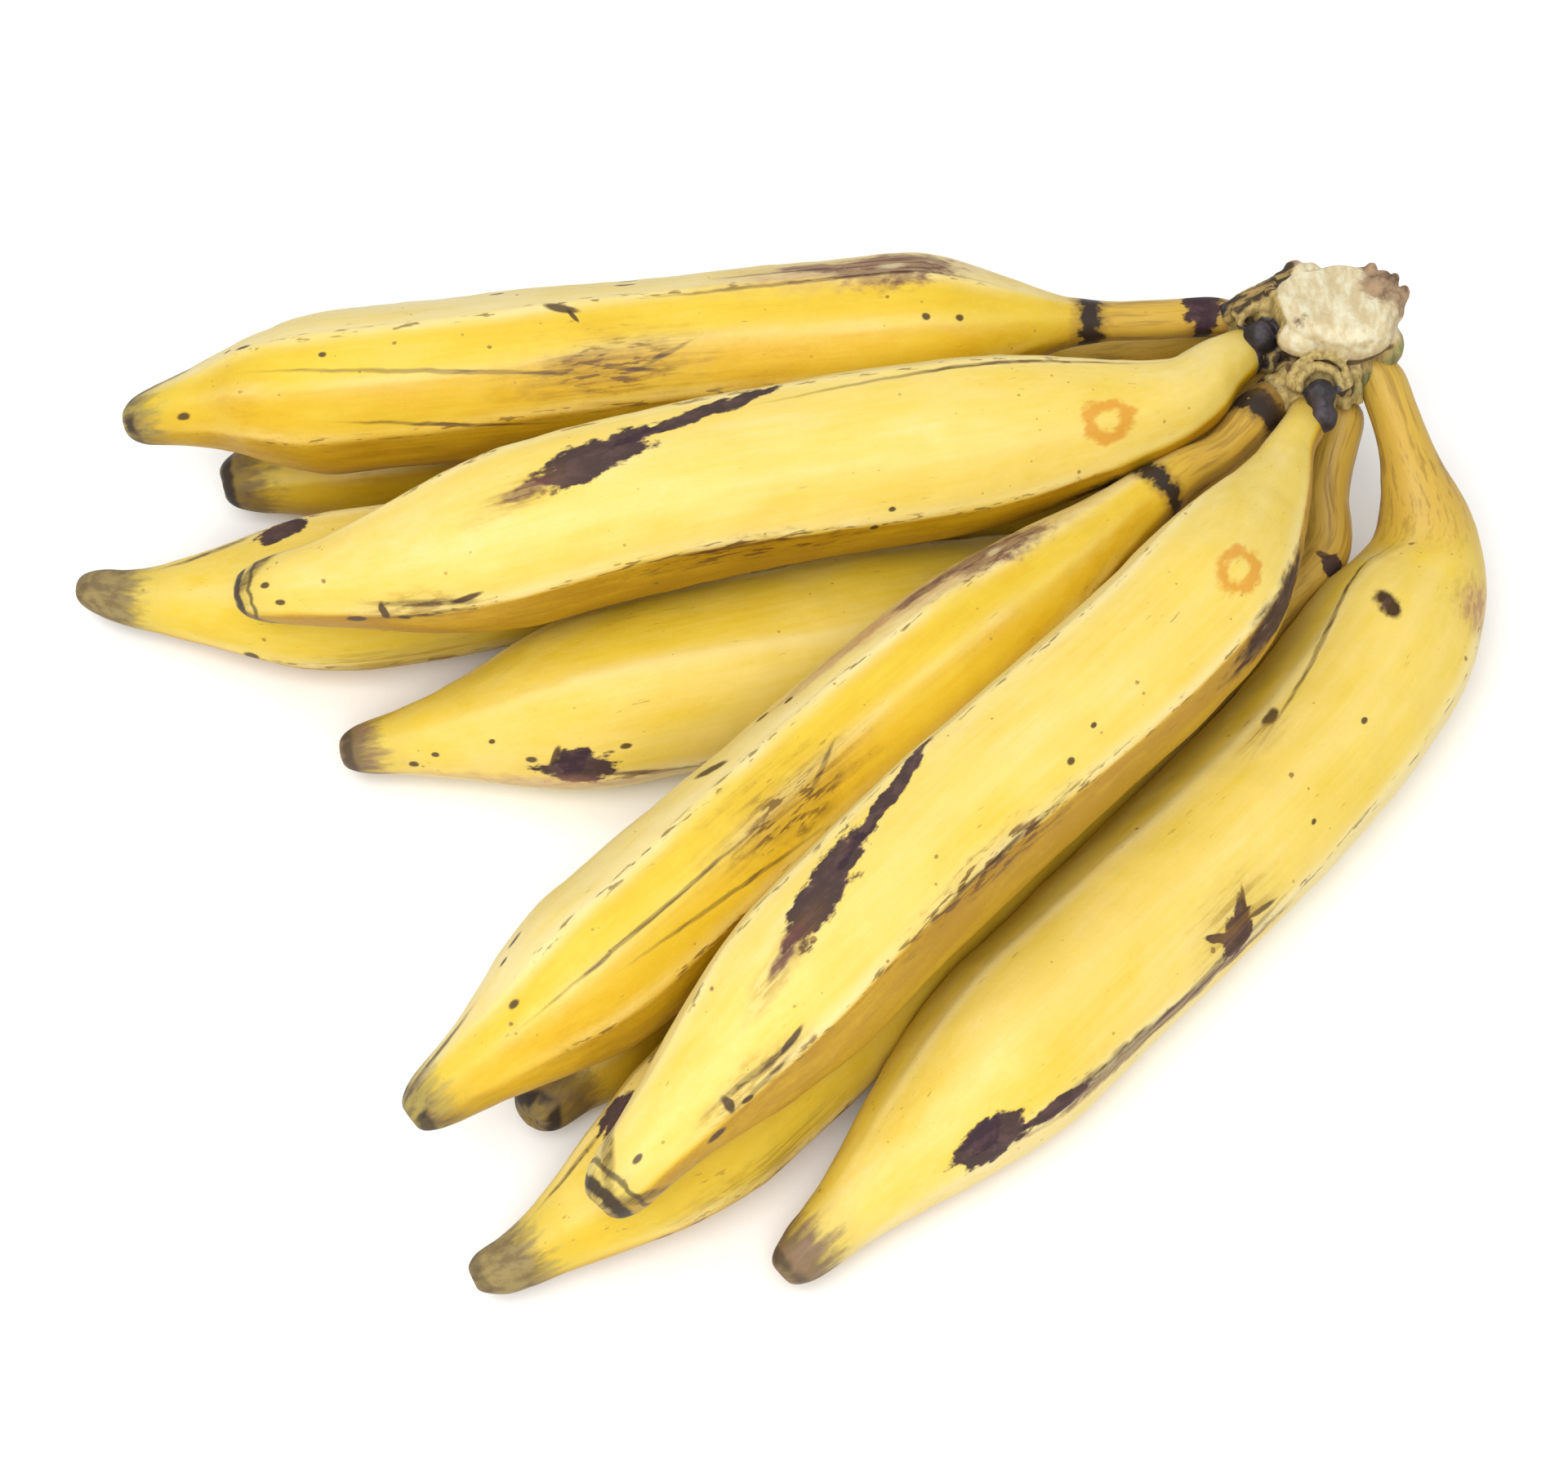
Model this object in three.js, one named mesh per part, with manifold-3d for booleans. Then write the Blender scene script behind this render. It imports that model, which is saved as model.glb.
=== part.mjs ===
// A hand of ten ripe plantain fingers on one woody crown, lying as it was set down.
// Millimetres, +Z up. The origin is on the surface it lies on, under the middle of its box.
// Five fingers point left and five point to the front. In each group the first and third
// finger lie on top, and the other three rest on the surface.

import * as THREE from 'three';
import { mergeVertices } from 'three/addons/utils/BufferGeometryUtils.js';
import Module from 'manifold-3d';

const wasm = await Module();
wasm.setup();

// Driving dimensions shared by every finger
const RINGS = 30;
const SIDES_PER_FACE = 3;
const FACE_FLATNESS = 0.6;
const RIDGE_SHARPNESS = 9;
const TIP_ROUND = 3;
const TOUCH_GAP = 0.6;
const CROWN_GAP = 0.3;
const ROOT_DEPTH = 0.5;
const COURSE_SAMPLES = 90;

// Each finger: the course of its middle line from the crown to the tip, the radius of its
// stalk, belly and tip, the length of stalk before it swells (neck), the length of the
// swelling (shoulder), the length of the narrowing end (taper), and the angles of its five
// ridges about the course, from level on its rear side (0) by way of straight up (90).
const FINGERS = {
  left_finger_1: {
    course: [[123, 121, 62], [103, 118, 64], [60, 112, 65], [-14, 103, 64], [-112, 96, 57], [-146, 99, 49], [-171, 98, 43]],
    stalk: 6.2, belly: 23, tip: 8, neck: 38, shoulder: 60, taper: 64,
    ridges: [20, 86, 155, 228, 300],
  },
  left_finger_2: {
    course: [[129, 123, 50], [105, 128, 38], [81, 133, 28], [50, 136, 19], [-10, 130, 17], [-91, 113, 17], [-147, 98, 16]],
    stalk: 6, belly: 19.4, tip: 9.5, neck: 24, shoulder: 100, taper: 45,
    ridges: [15, 85, 150, 225, 300],
  },
  left_finger_3: {
    course: [[133, 112, 62], [121, 98, 66], [98, 81, 70], [13, 60, 73], [-30, 50, 72], [-94, 37, 61], [-137, 37, 47]],
    stalk: 6, belly: 24.5, tip: 9, neck: -10, shoulder: 115, taper: 80,
    ridges: [61, 160, 226, 290, 352],
  },
  left_finger_4: {
    course: [[141, 106, 50], [119, 96, 30], [80, 94, 22], [24, 86, 22], [-32, 76, 22], [-108, 57, 23], [-165, 60, 14], [-186, 65, 12]],
    stalk: 6.3, belly: 23.3, tip: 6.8, neck: 10, shoulder: 110, taper: 80,
    ridges: [60, 130, 205, 270, 340],
  },
  left_finger_5: {
    course: [[149, 104, 48], [120, 78, 29], [86, 64, 21], [54, 48, 22], [-13, 28, 24], [-74, 15, 18], [-111, 11, 12]],
    stalk: 6.5, belly: 25.4, tip: 7.5, neck: 27, shoulder: 130, taper: 75,
    ridges: [48, 118, 192, 262, 330],
  },
  front_finger_1: {
    course: [[132, 90, 60], [120, 74, 61], [105, 60, 63], [60, 12, 62], [24, -25, 61], [-44, -89, 53], [-84, -117, 42]],
    stalk: 6.2, belly: 22.8, tip: 8, neck: 22, shoulder: 108, taper: 60,
    ridges: [11, 77, 146, 219, 291],
  },
  front_finger_2: {
    course: [[140, 100, 52], [122, 81, 47], [71, 26, 36], [40, 2, 25], [6, -27, 16], [-44, -79, 14], [-57, -98, 15]],
    stalk: 5.9, belly: 16, tip: 9.3, neck: 48, shoulder: 165, taper: 28,
    ridges: [6, 76, 141, 216, 291],
  },
  front_finger_3: {
    course: [[146, 86, 62], [142, 72, 66], [131, 46, 69], [103, 1, 74], [40, -70, 73], [-10, -121, 62], [-36, -143, 49]],
    stalk: 6, belly: 24.4, tip: 9.3, neck: -10, shoulder: 115, taper: 75,
    ridges: [52, 151, 217, 281, 343],
  },
  front_finger_4: {
    course: [[155, 97, 50], [149, 73, 32], [124, 43, 22], [82, 1, 20], [46, -37, 20], [-18, -110, 23], [-56, -139, 15], [-70, -145, 12]],
    stalk: 6.3, belly: 23.3, tip: 7, neck: 22, shoulder: 170, taper: 72,
    ridges: [51, 121, 196, 261, 331],
  },
  front_finger_5: {
    course: [[164, 104, 58], [171, 80, 46], [174, 62, 31], [166, 40, 24], [136, -4, 23], [61, -87, 23], [14, -135, 15], [5, -143, 12]],
    stalk: 6.8, belly: 26.2, tip: 7.5, neck: 22, shoulder: 68, taper: 85,
    ridges: [30, 86, 168, 235, 300],
  },
};

// The crown: sections from its underside to its flat cut face, each with the height, the
// middle and the half width and half depth, and a torn lobe on its left rear side.
const CROWN_SECTIONS = [
  { z: 37, x: 147, y: 103, w: 11, d: 9 },
  { z: 42, x: 147, y: 103, w: 18, d: 15 },
  { z: 50, x: 147, y: 103, w: 21.5, d: 18 },
  { z: 58, x: 148, y: 104, w: 23, d: 19 },
  { z: 66, x: 149, y: 105, w: 22, d: 18.5 },
  { z: 73, x: 151, y: 106, w: 20, d: 17 },
  { z: 79, x: 152, y: 107, w: 19, d: 16 },
  { z: 82, x: 152, y: 107, w: 17.5, d: 14.5 },
];
const CROWN_SIDES = 24;
const CROWN_LOBE = { angle: 142, spread: 26, height: 64, reach: 0.26 };
const CROWN_BUMPS = [{ count: 3, size: 0.05, turn: 40 }, { count: 5, size: 0.035, turn: 10 }];
const ROOT_TARGET = new THREE.Vector3(148, 104, 58);

const SKIN_COLOUR = '#ecc94b';
const CROWN_COLOUR = '#d9cfa6';
const UP = new THREE.Vector3(0, 0, 1);

function smoothstep(x) {
  return THREE.MathUtils.smoothstep(x, 0, 1);
}

// Distance from the middle to the rounded five-faced section, as a share of the radius.
function sectionShape(ridges) {
  const faces = ridges.map((from, i) => {
    const to = i + 1 < ridges.length ? ridges[i + 1] : ridges[0] + 360;
    const half = THREE.MathUtils.degToRad((to - from) / 2);
    const reach = 1 - FACE_FLATNESS * (1 - Math.cos(half));
    return { middle: THREE.MathUtils.degToRad((from + to) / 2), reach };
  });
  const raw = (angle) => {
    const sum = faces.reduce((total, face) => {
      const lean = Math.max(0, Math.cos(angle - face.middle)) / face.reach;
      return total + lean ** RIDGE_SHARPNESS;
    }, 0);
    return sum ** (-1 / RIDGE_SHARPNESS);
  };
  const largest = Math.max(...ridges.map((ridge) => raw(THREE.MathUtils.degToRad(ridge))));
  return (angle) => raw(angle) / largest;
}

// Angles of the mesh's sides, so that each ridge has an edge of its own.
function sideAngles(ridges) {
  const angles = ridges.flatMap((from, i) => {
    const to = i + 1 < ridges.length ? ridges[i + 1] : ridges[0] + 360;
    const part = (to - from) / SIDES_PER_FACE;
    return Array.from({ length: SIDES_PER_FACE }, (_, k) => from + part * k);
  });
  return angles.map(THREE.MathUtils.degToRad);
}

class Finger {
  constructor(name, size) {
    this.name = name;
    this.size = size;
    const points = size.course.map((point) => new THREE.Vector3(...point));
    const root = points[0].clone().lerp(ROOT_TARGET.clone().setZ(points[0].z), ROOT_DEPTH);
    this.rootLength = root.distanceTo(points[0]);
    this.curve = new THREE.CatmullRomCurve3([root, ...points], false, 'catmullrom', 0.5);
    this.curve.arcLengthDivisions = 600;
    this.length = this.curve.getLength() - this.rootLength;
    this.shape = sectionShape(size.ridges);
    this.angles = sideAngles(size.ridges);
    this.samples = Array.from({ length: COURSE_SAMPLES + 1 }, (_, i) =>
      this.frameAt(-this.rootLength + (this.length + this.rootLength) * (i / COURSE_SAMPLES)));
  }

  // Middle, level side and upward side of the finger at a distance from its first point.
  frameAt(distance) {
    const u = (distance + this.rootLength) / (this.length + this.rootLength);
    const middle = this.curve.getPointAt(u);
    const along = this.curve.getTangentAt(u);
    const up = UP.clone().addScaledVector(along, -UP.dot(along)).normalize();
    const side = new THREE.Vector3().crossVectors(along, up);
    return { middle, side, up, distance, radius: this.radiusAt(distance) };
  }

  radiusAt(distance) {
    const { stalk, belly, tip, neck, shoulder, taper } = this.size;
    const swollen = stalk + (belly - stalk) * smoothstep((distance - neck) / shoulder);
    const ending = smoothstep((distance - this.length + taper) / taper);
    const radius = swollen + (tip - swollen) * ending;
    const left = Math.min(1, (this.length - distance) / TIP_ROUND);
    return radius * (0.45 + 0.55 * Math.sqrt(1 - (1 - left) ** 2));
  }

  // How round the finger is: the stalk and the tip have softer faces than the belly.
  reachAt(frame, angle) {
    const fullness = smoothstep((frame.radius - this.size.stalk) / (this.size.belly - this.size.stalk));
    return frame.radius * THREE.MathUtils.lerp(0.97, this.shape(angle), 0.3 + 0.7 * fullness);
  }

  pointAt(frame, angle, share = 1) {
    const reach = this.reachAt(frame, angle) * share;
    return frame.middle.clone()
      .addScaledVector(frame.side, Math.cos(angle) * reach)
      .addScaledVector(frame.up, Math.sin(angle) * reach);
  }

  // Depth of a point inside this finger's full shape; it is negative outside.
  depthOf(point) {
    let nearest = this.samples[0];
    let least = Infinity;
    for (const sample of this.samples) {
      const gap = sample.middle.distanceToSquared(point);
      if (gap < least) {
        least = gap;
        nearest = sample;
      }
    }
    const offset = point.clone().sub(nearest.middle);
    const angle = Math.atan2(offset.dot(nearest.up), offset.dot(nearest.side));
    return this.reachAt(nearest, angle) - Math.sqrt(least);
  }

  // Neighbours press each other flat: a surface point moves in until both are dented alike.
  pressedPoint(frame, angle, neighbours) {
    const reach = this.reachAt(frame, angle);
    const isClear = (share) => {
      const point = this.pointAt(frame, angle, share);
      const dent = (1 - share) * reach;
      return neighbours.every((other) => other.depthOf(point) <= dent - TOUCH_GAP / 2);
    };
    let share = 1;
    while (share > 0.3 && !isClear(share)) share -= 0.01;
    return this.pointAt(frame, angle, share);
  }

  stations() {
    const straight = Array.from({ length: RINGS }, (_, i) =>
      -this.rootLength + (this.length - TIP_ROUND + this.rootLength) * (i / (RINGS - 1)));
    return [...straight, this.length - TIP_ROUND * 0.5, this.length - TIP_ROUND * 0.15, this.length];
  }

  geometry(neighbours) {
    const frames = this.stations().map((distance) => this.frameAt(distance));
    const rings = frames.length - 1;
    const sides = this.angles.length;
    const tube = new THREE.CylinderGeometry(1, 1, 1, sides, rings);
    const position = tube.attributes.position;
    const placed = new Map();
    for (let i = 0; i < position.count; i += 1) {
      const ring = Math.round((0.5 - position.getY(i)) * rings);
      const onAxis = Math.hypot(position.getX(i), position.getZ(i)) < 0.5;
      const turn = Math.atan2(position.getX(i), position.getZ(i)) / (2 * Math.PI);
      const side = (Math.round(turn * sides) + sides) % sides;
      const key = onAxis ? `${ring} axis` : `${ring} ${side}`;
      if (!placed.has(key)) {
        const frame = frames[ring];
        placed.set(key, onAxis ? frame.middle : this.pressedPoint(frame, this.angles[side], neighbours));
      }
      position.setXYZ(i, ...placed.get(key).toArray());
    }
    return closed(tube);
  }
}

function closed(geometry) {
  geometry.deleteAttribute('normal');
  geometry.deleteAttribute('uv');
  return mergeVertices(geometry, 1e-5);
}

function toSolid(geometry) {
  return new wasm.Manifold(new wasm.Mesh({
    numProp: 3,
    vertProperties: new Float32Array(geometry.attributes.position.array),
    triVerts: new Uint32Array(geometry.index.array),
  }));
}

function toGeometry(solid) {
  const { vertProperties, triVerts } = solid.getMesh();
  const geometry = new THREE.BufferGeometry();
  geometry.setAttribute('position', new THREE.BufferAttribute(new Float32Array(vertProperties), 3));
  geometry.setIndex(new THREE.BufferAttribute(new Uint32Array(triVerts), 1));
  return geometry;
}

// Outline of the crown at an angle, as a share of its half width and half depth.
function crownOutline(angle, z) {
  const bumps = CROWN_BUMPS.reduce((sum, bump) =>
    sum + bump.size * Math.cos(bump.count * (angle - THREE.MathUtils.degToRad(bump.turn))), 0);
  const away = THREE.MathUtils.radToDeg(
    THREE.MathUtils.euclideanModulo(angle - THREE.MathUtils.degToRad(CROWN_LOBE.angle) + Math.PI, 2 * Math.PI) - Math.PI);
  const lobe = CROWN_LOBE.reach * Math.exp(-((away / CROWN_LOBE.spread) ** 2) - ((z - CROWN_LOBE.height) / 9) ** 2);
  return 1 + bumps + lobe;
}

function crownGeometry(extra) {
  const rings = CROWN_SECTIONS.length - 1;
  const block = new THREE.CylinderGeometry(1, 1, 1, CROWN_SIDES, rings);
  const position = block.attributes.position;
  for (let i = 0; i < position.count; i += 1) {
    const section = CROWN_SECTIONS[rings - Math.round((0.5 - position.getY(i)) * rings)];
    const share = Math.hypot(position.getX(i), position.getZ(i));
    const angle = Math.atan2(-position.getZ(i), position.getX(i));
    const outline = share * crownOutline(angle, section.z);
    const first = section === CROWN_SECTIONS[0];
    const last = section === CROWN_SECTIONS[rings];
    position.setXYZ(i,
      section.x + Math.cos(angle) * (outline * section.w + share * extra),
      section.y + Math.sin(angle) * (outline * section.d + share * extra),
      section.z + (last ? extra : 0) - (first ? extra : 0));
  }
  return closed(block);
}

function floorGeometry() {
  const slab = new THREE.BoxGeometry(1000, 1000, 100);
  slab.translate(0, 0, -50);
  return closed(slab);
}

function makeMesh(name, geometry, colour, roughness) {
  const mesh = new THREE.Mesh(geometry, new THREE.MeshStandardMaterial({ color: colour, roughness, metalness: 0 }));
  mesh.name = name;
  return mesh;
}

function makeHand() {
  const hand = new THREE.Group();
  hand.add(makeMesh('crown', crownGeometry(0), CROWN_COLOUR, 0.8));
  const crown = toSolid(crownGeometry(CROWN_GAP));
  const floor = toSolid(floorGeometry());
  const fingers = Object.entries(FINGERS).map(([name, size]) => new Finger(name, size));
  for (const finger of fingers) {
    const neighbours = fingers.filter((other) => other !== finger);
    const solid = toSolid(finger.geometry(neighbours)).subtract(crown).subtract(floor);
    const largest = solid.decompose().sort((a, b) => b.volume() - a.volume())[0];
    hand.add(makeMesh(finger.name, toGeometry(largest), SKIN_COLOUR, 0.45));
  }
  return hand;
}

export default makeHand();
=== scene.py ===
"""A hand of ripe plantains on its crown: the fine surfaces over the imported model, in metres."""

import logging
import math
from dataclasses import dataclass
from enum import Enum

import bpy
import numpy as np
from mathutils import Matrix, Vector

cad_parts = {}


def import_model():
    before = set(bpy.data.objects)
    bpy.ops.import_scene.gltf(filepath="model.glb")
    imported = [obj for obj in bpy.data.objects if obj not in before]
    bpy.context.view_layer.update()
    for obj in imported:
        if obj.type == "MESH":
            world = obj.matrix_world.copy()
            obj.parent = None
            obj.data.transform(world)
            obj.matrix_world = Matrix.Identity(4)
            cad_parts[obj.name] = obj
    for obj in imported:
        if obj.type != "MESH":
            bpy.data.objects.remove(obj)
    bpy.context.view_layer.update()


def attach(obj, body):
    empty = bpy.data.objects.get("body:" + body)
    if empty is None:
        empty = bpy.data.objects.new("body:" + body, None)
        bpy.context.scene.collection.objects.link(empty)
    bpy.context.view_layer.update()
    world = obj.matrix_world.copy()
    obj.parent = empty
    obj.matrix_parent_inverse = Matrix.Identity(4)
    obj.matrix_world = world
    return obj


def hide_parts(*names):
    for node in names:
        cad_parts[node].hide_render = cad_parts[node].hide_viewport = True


log = logging.getLogger("plantain_hand")

MM = 0.001

Colour = tuple[float, float, float, float]
Point = tuple[float, float, float]
STILL: Point = (0.0, 0.0, 0.0)


def srgb(code: str) -> Colour:
    """Turn a colour code of six hex digits into the linear colour that a shader takes.

    Args:
        code: Red, green and blue as six hex digits.

    Returns:
        The linear red, green, blue and a full alpha.
    """
    parts = [int(code[i : i + 2], 16) / 255 for i in (0, 2, 4)]
    linear = [p / 12.92 if p <= 0.04045 else ((p + 0.055) / 1.055) ** 2.4 for p in parts]
    return (linear[0], linear[1], linear[2], 1.0)


def smoothstep(x: np.ndarray) -> np.ndarray:
    """Rise smoothly from 0 to 1 as x goes from 0 to 1."""
    x = np.clip(x, 0.0, 1.0)
    return x * x * (3.0 - 2.0 * x)


def deselect_all() -> None:
    """Leave no object selected, so that an operator acts on the new piece only."""
    bpy.ops.object.select_all(action="DESELECT")


def activate(piece: bpy.types.Object) -> None:
    """Make a piece the only selected and active object.

    Args:
        piece: The object that the next operators work on.
    """
    deselect_all()
    piece.select_set(True)
    bpy.context.view_layer.objects.active = piece


def apply_modifier(piece: bpy.types.Object, kind: str, **settings: object) -> None:
    """Add one modifier to a piece and apply it at once.

    Args:
        piece: The object to change.
        kind: Blender's name of the modifier type.
        settings: The modifier's own settings.
    """
    activate(piece)
    modifier = piece.modifiers.new(kind.title(), kind)
    for name, value in settings.items():
        setattr(modifier, name, value)
    bpy.ops.object.modifier_apply(modifier=modifier.name)


def cloud_texture(name: str, size: float) -> bpy.types.Texture:
    """Make the soft cloud pattern that a Displace modifier pushes a skin with.

    Args:
        name: Name of the texture.
        size: Size of one cloud in millimetres.

    Returns:
        The new texture.
    """
    texture = bpy.data.textures.new(name, "CLOUDS")
    texture.noise_scale = size * MM
    texture.noise_depth = 2
    return texture


def read_vertices(mesh: bpy.types.Mesh, what: str = "co") -> np.ndarray:
    """Read the places or normals of a mesh's vertices as rows.

    Args:
        mesh: The mesh to read.
        what: Either co, for places, or normal.

    Returns:
        One row of three numbers for each vertex.
    """
    flat = np.empty(len(mesh.vertices) * 3, np.float32)
    mesh.vertices.foreach_get(what, flat)
    return flat.reshape(-1, 3).astype(float)


def write_vertices(mesh: bpy.types.Mesh, places: np.ndarray) -> None:
    """Move every vertex of a mesh.

    Args:
        mesh: The mesh to change.
        places: One row of three numbers for each vertex, in metres.
    """
    mesh.vertices.foreach_set("co", places.astype(np.float32).ravel())
    mesh.update()


def cut_rings(piece: bpy.types.Object, height: float, rings: int) -> None:
    """Cut an upright cylinder into level rings.

    Args:
        piece: The cylinder.
        height: Its height, in its own units.
        rings: Number of rings of vertices, both ends included.
    """
    bpy.context.tool_settings.mesh_select_mode = (False, True, False)
    bpy.ops.object.mode_set(mode="EDIT")
    bpy.ops.mesh.select_all(action="DESELECT")
    bpy.ops.object.mode_set(mode="OBJECT")
    for edge in piece.data.edges:
        start, end = (piece.data.vertices[v].co for v in edge.vertices)
        edge.select = abs(start.z - end.z) > height / 2
    bpy.ops.object.mode_set(mode="EDIT")
    bpy.ops.mesh.subdivide(number_cuts=rings - 2)
    bpy.ops.object.mode_set(mode="OBJECT")


def store(mesh: bpy.types.Mesh, name: str, values: np.ndarray) -> None:
    """Store a number or a vector on each vertex, for the material to read.

    Args:
        mesh: The mesh that gets the attribute.
        name: Name of the attribute.
        values: One number, or one row of three, for each vertex.
    """
    is_vector = values.ndim == 2
    layer = mesh.attributes.new(name, "FLOAT_VECTOR" if is_vector else "FLOAT", "POINT")
    layer.data.foreach_set("vector" if is_vector else "value", values.astype(np.float32).ravel())


class Socket:
    """One output of a node, which adds up in expressions as a number does."""

    def __init__(self, shader: "Shader", output: bpy.types.NodeSocket) -> None:
        """Wrap a node's output.

        Args:
            shader: The material that the node belongs to.
            output: The output that is wrapped.
        """
        self.shader = shader
        self.output = output

    def __add__(self, other: "Value") -> "Socket":
        """Add two values."""
        return self.shader.math("ADD", self, other)

    __radd__ = __add__

    def __sub__(self, other: "Value") -> "Socket":
        """Take other away from this value."""
        return self.shader.math("SUBTRACT", self, other)

    def __rsub__(self, other: "Value") -> "Socket":
        """Take this value away from other."""
        return self.shader.math("SUBTRACT", other, self)

    def __mul__(self, other: "Value") -> "Socket":
        """Multiply two values."""
        return self.shader.math("MULTIPLY", self, other)

    __rmul__ = __mul__


Value = Socket | float


class Shader:
    """A material's node tree, built by expressions."""

    def __init__(self, name: str) -> None:
        """Start a material with only its output.

        Args:
            name: Name of the material.
        """
        self.material = bpy.data.materials.new(name)
        self.material.use_nodes = True
        self.tree = self.material.node_tree
        self.tree.nodes.clear()

    def node(
        self,
        kind: str,
        settings: dict[str, object] | None = None,
        sockets: dict[str | int, object] | None = None,
        output: str | int = 0,
    ) -> Socket:
        """Add one node.

        Args:
            kind: Blender's node type.
            settings: The node's own settings, set first; stops are a ramp's places and colours.
            sockets: A value or a Socket for each input, by name or number.
            output: Name or number of the output to give back.

        Returns:
            The chosen output.
        """
        made = self.tree.nodes.new(kind)
        for name, value in (settings or {}).items():
            if name == "stops":
                for place, colour in value[:-2]:
                    made.color_ramp.elements.new(place)
                for element, (place, colour) in zip(made.color_ramp.elements, value):
                    element.position, element.color = place, colour
            else:
                setattr(made, name, value)
        for name, value in (sockets or {}).items():
            if isinstance(value, Socket):
                self.tree.links.new(value.output, made.inputs[name])
            else:
                made.inputs[name].default_value = value
        return Socket(self, made.outputs[output]) if made.outputs else Socket(self, None)

    def math(self, operation: str, *values: Value) -> Socket:
        """Add a Math node for one operation on up to three values."""
        return self.node("ShaderNodeMath", {"operation": operation}, dict(enumerate(values)))

    def vector(self, operation: str, *values: object, output: str | int = 0) -> Socket:
        """Add a Vector Math node for one operation on vectors."""
        return self.node("ShaderNodeVectorMath", {"operation": operation}, dict(enumerate(values)), output)

    def scaled(self, vector: Socket, size: float) -> Socket:
        """Multiply a vector by a number."""
        return self.node("ShaderNodeVectorMath", {"operation": "SCALE"}, {"Vector": vector, "Scale": size})

    def combine(self, x: Value, y: Value, z: Value) -> Socket:
        """Put three numbers together as a vector."""
        return self.node("ShaderNodeCombineXYZ", None, {0: x, 1: y, 2: z})

    def attribute(self, name: str, output: str) -> Socket:
        """Read an attribute that is stored on the mesh."""
        return self.node("ShaderNodeAttribute", {"attribute_name": name}, None, output)

    def ramp(self, value: Value, low: float, high: float) -> Socket:
        """Rise smoothly from 0 at low to 1 at high; high may be the lower number.

        Args:
            value: The number that is mapped.
            low: Where the result is 0.
            high: Where the result is 1.

        Returns:
            A number from 0 to 1.
        """
        start, end, first, last = (low, high, 0.0, 1.0) if low < high else (high, low, 1.0, 0.0)
        return self.node(
            "ShaderNodeMapRange",
            {"interpolation_type": "SMOOTHSTEP"},
            {"Value": value, "From Min": start, "From Max": end, "To Min": first, "To Max": last},
        )

    def mix(self, share: Value, first: object, second: object) -> Socket:
        """Mix two colours; a share of 1 gives the second."""
        return self.node("ShaderNodeMix", {"data_type": "RGBA"}, {0: share, 6: first, 7: second}, 2)

    def stretch(self, vector: Socket, scale: Point, offset: Point = STILL, turn: Point = STILL) -> Socket:
        """Scale, turn and shift the place that a pattern reads.

        Args:
            vector: The place.
            scale: Factor along each axis.
            offset: Shift along each axis, after scaling.
            turn: Turn about each axis in radians, after scaling.

        Returns:
            The changed place.
        """
        sockets = {"Vector": vector, "Location": offset, "Rotation": turn, "Scale": scale}
        return self.node("ShaderNodeMapping", None, sockets)

    def noise(
        self, place: Socket, detail: float = 2.0, roughness: float = 0.5, output: str = "Fac"
    ) -> Socket:
        """Add a noise pattern with clouds of about one unit of place."""
        sockets = {"Vector": place, "Scale": 1.0, "Detail": detail, "Roughness": roughness}
        return self.node("ShaderNodeTexNoise", None, sockets, output)

    def finish(
        self, sockets: dict[str, object], height: Socket, strength: float, distance: float
    ) -> bpy.types.Material:
        """Close the material with its surface and bump.

        Args:
            sockets: Inputs of the Principled surface.
            height: Height of the relief, from 0 to 1.
            strength: How strongly the relief shows.
            distance: Depth of the relief in metres.

        Returns:
            The finished material.
        """
        relief = self.node(
            "ShaderNodeBump", None, {"Strength": strength, "Distance": distance, "Height": height}, "Normal"
        )
        surface = self.node("ShaderNodeBsdfPrincipled", None, {**sockets, "Normal": relief})
        self.node("ShaderNodeOutputMaterial", None, {"Surface": surface})
        return self.material


class MarkKind(Enum):
    """What a mark on the peel is."""

    BRUISE = "soft purple brown bruise"
    BLOTCH = "dark ragged blotch"
    GASH = "dark brown crushed spot"
    SMUDGE = "streaky brown smudge"
    FLUSH = "pinkish rubbed stripe"
    PALE = "pale rubbed patch"
    RING = "orange ring"
    SCRATCH = "patch of short scratches"
    LINE = "thin dark line"
    SPOT = "small dark spot"


@dataclass(frozen=True)
class MarkLook:
    """How one kind of mark looks: its colour, edge softness, strength, ragged edge, break-up and middle."""

    colour: str
    soft: float
    strength: float
    fray: float = 0.5
    streaky: float = 0.0
    veined: float = 0.0
    hollow: bool = False


MARK_LOOKS: dict[MarkKind, MarkLook] = {
    MarkKind.BRUISE: MarkLook("5E3836", 0.35, 0.9, 0.9, 0.3),
    MarkKind.BLOTCH: MarkLook("34222A", 0.12, 0.97, 0.8),
    MarkKind.GASH: MarkLook("2E1208", 0.35, 0.96, 0.7),
    MarkKind.SMUDGE: MarkLook("7C5A22", 0.7, 0.55, 0.8, 0.7),
    MarkKind.FLUSH: MarkLook("A87860", 0.6, 0.6, 0.9, 0.4),
    MarkKind.PALE: MarkLook("D8CCA0", 0.6, 0.7, 0.6, 0.2),
    MarkKind.RING: MarkLook("C27C10", 0.65, 0.72, 2.0, hollow=True),
    MarkKind.SCRATCH: MarkLook("5E3C10", 0.5, 0.85, 0.6, veined=1.0),
    MarkKind.LINE: MarkLook("40291A", 0.5, 0.85, 0.5, 0.4),
    MarkKind.SPOT: MarkLook("38241A", 0.3, 0.9, 0.6),
}


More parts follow.
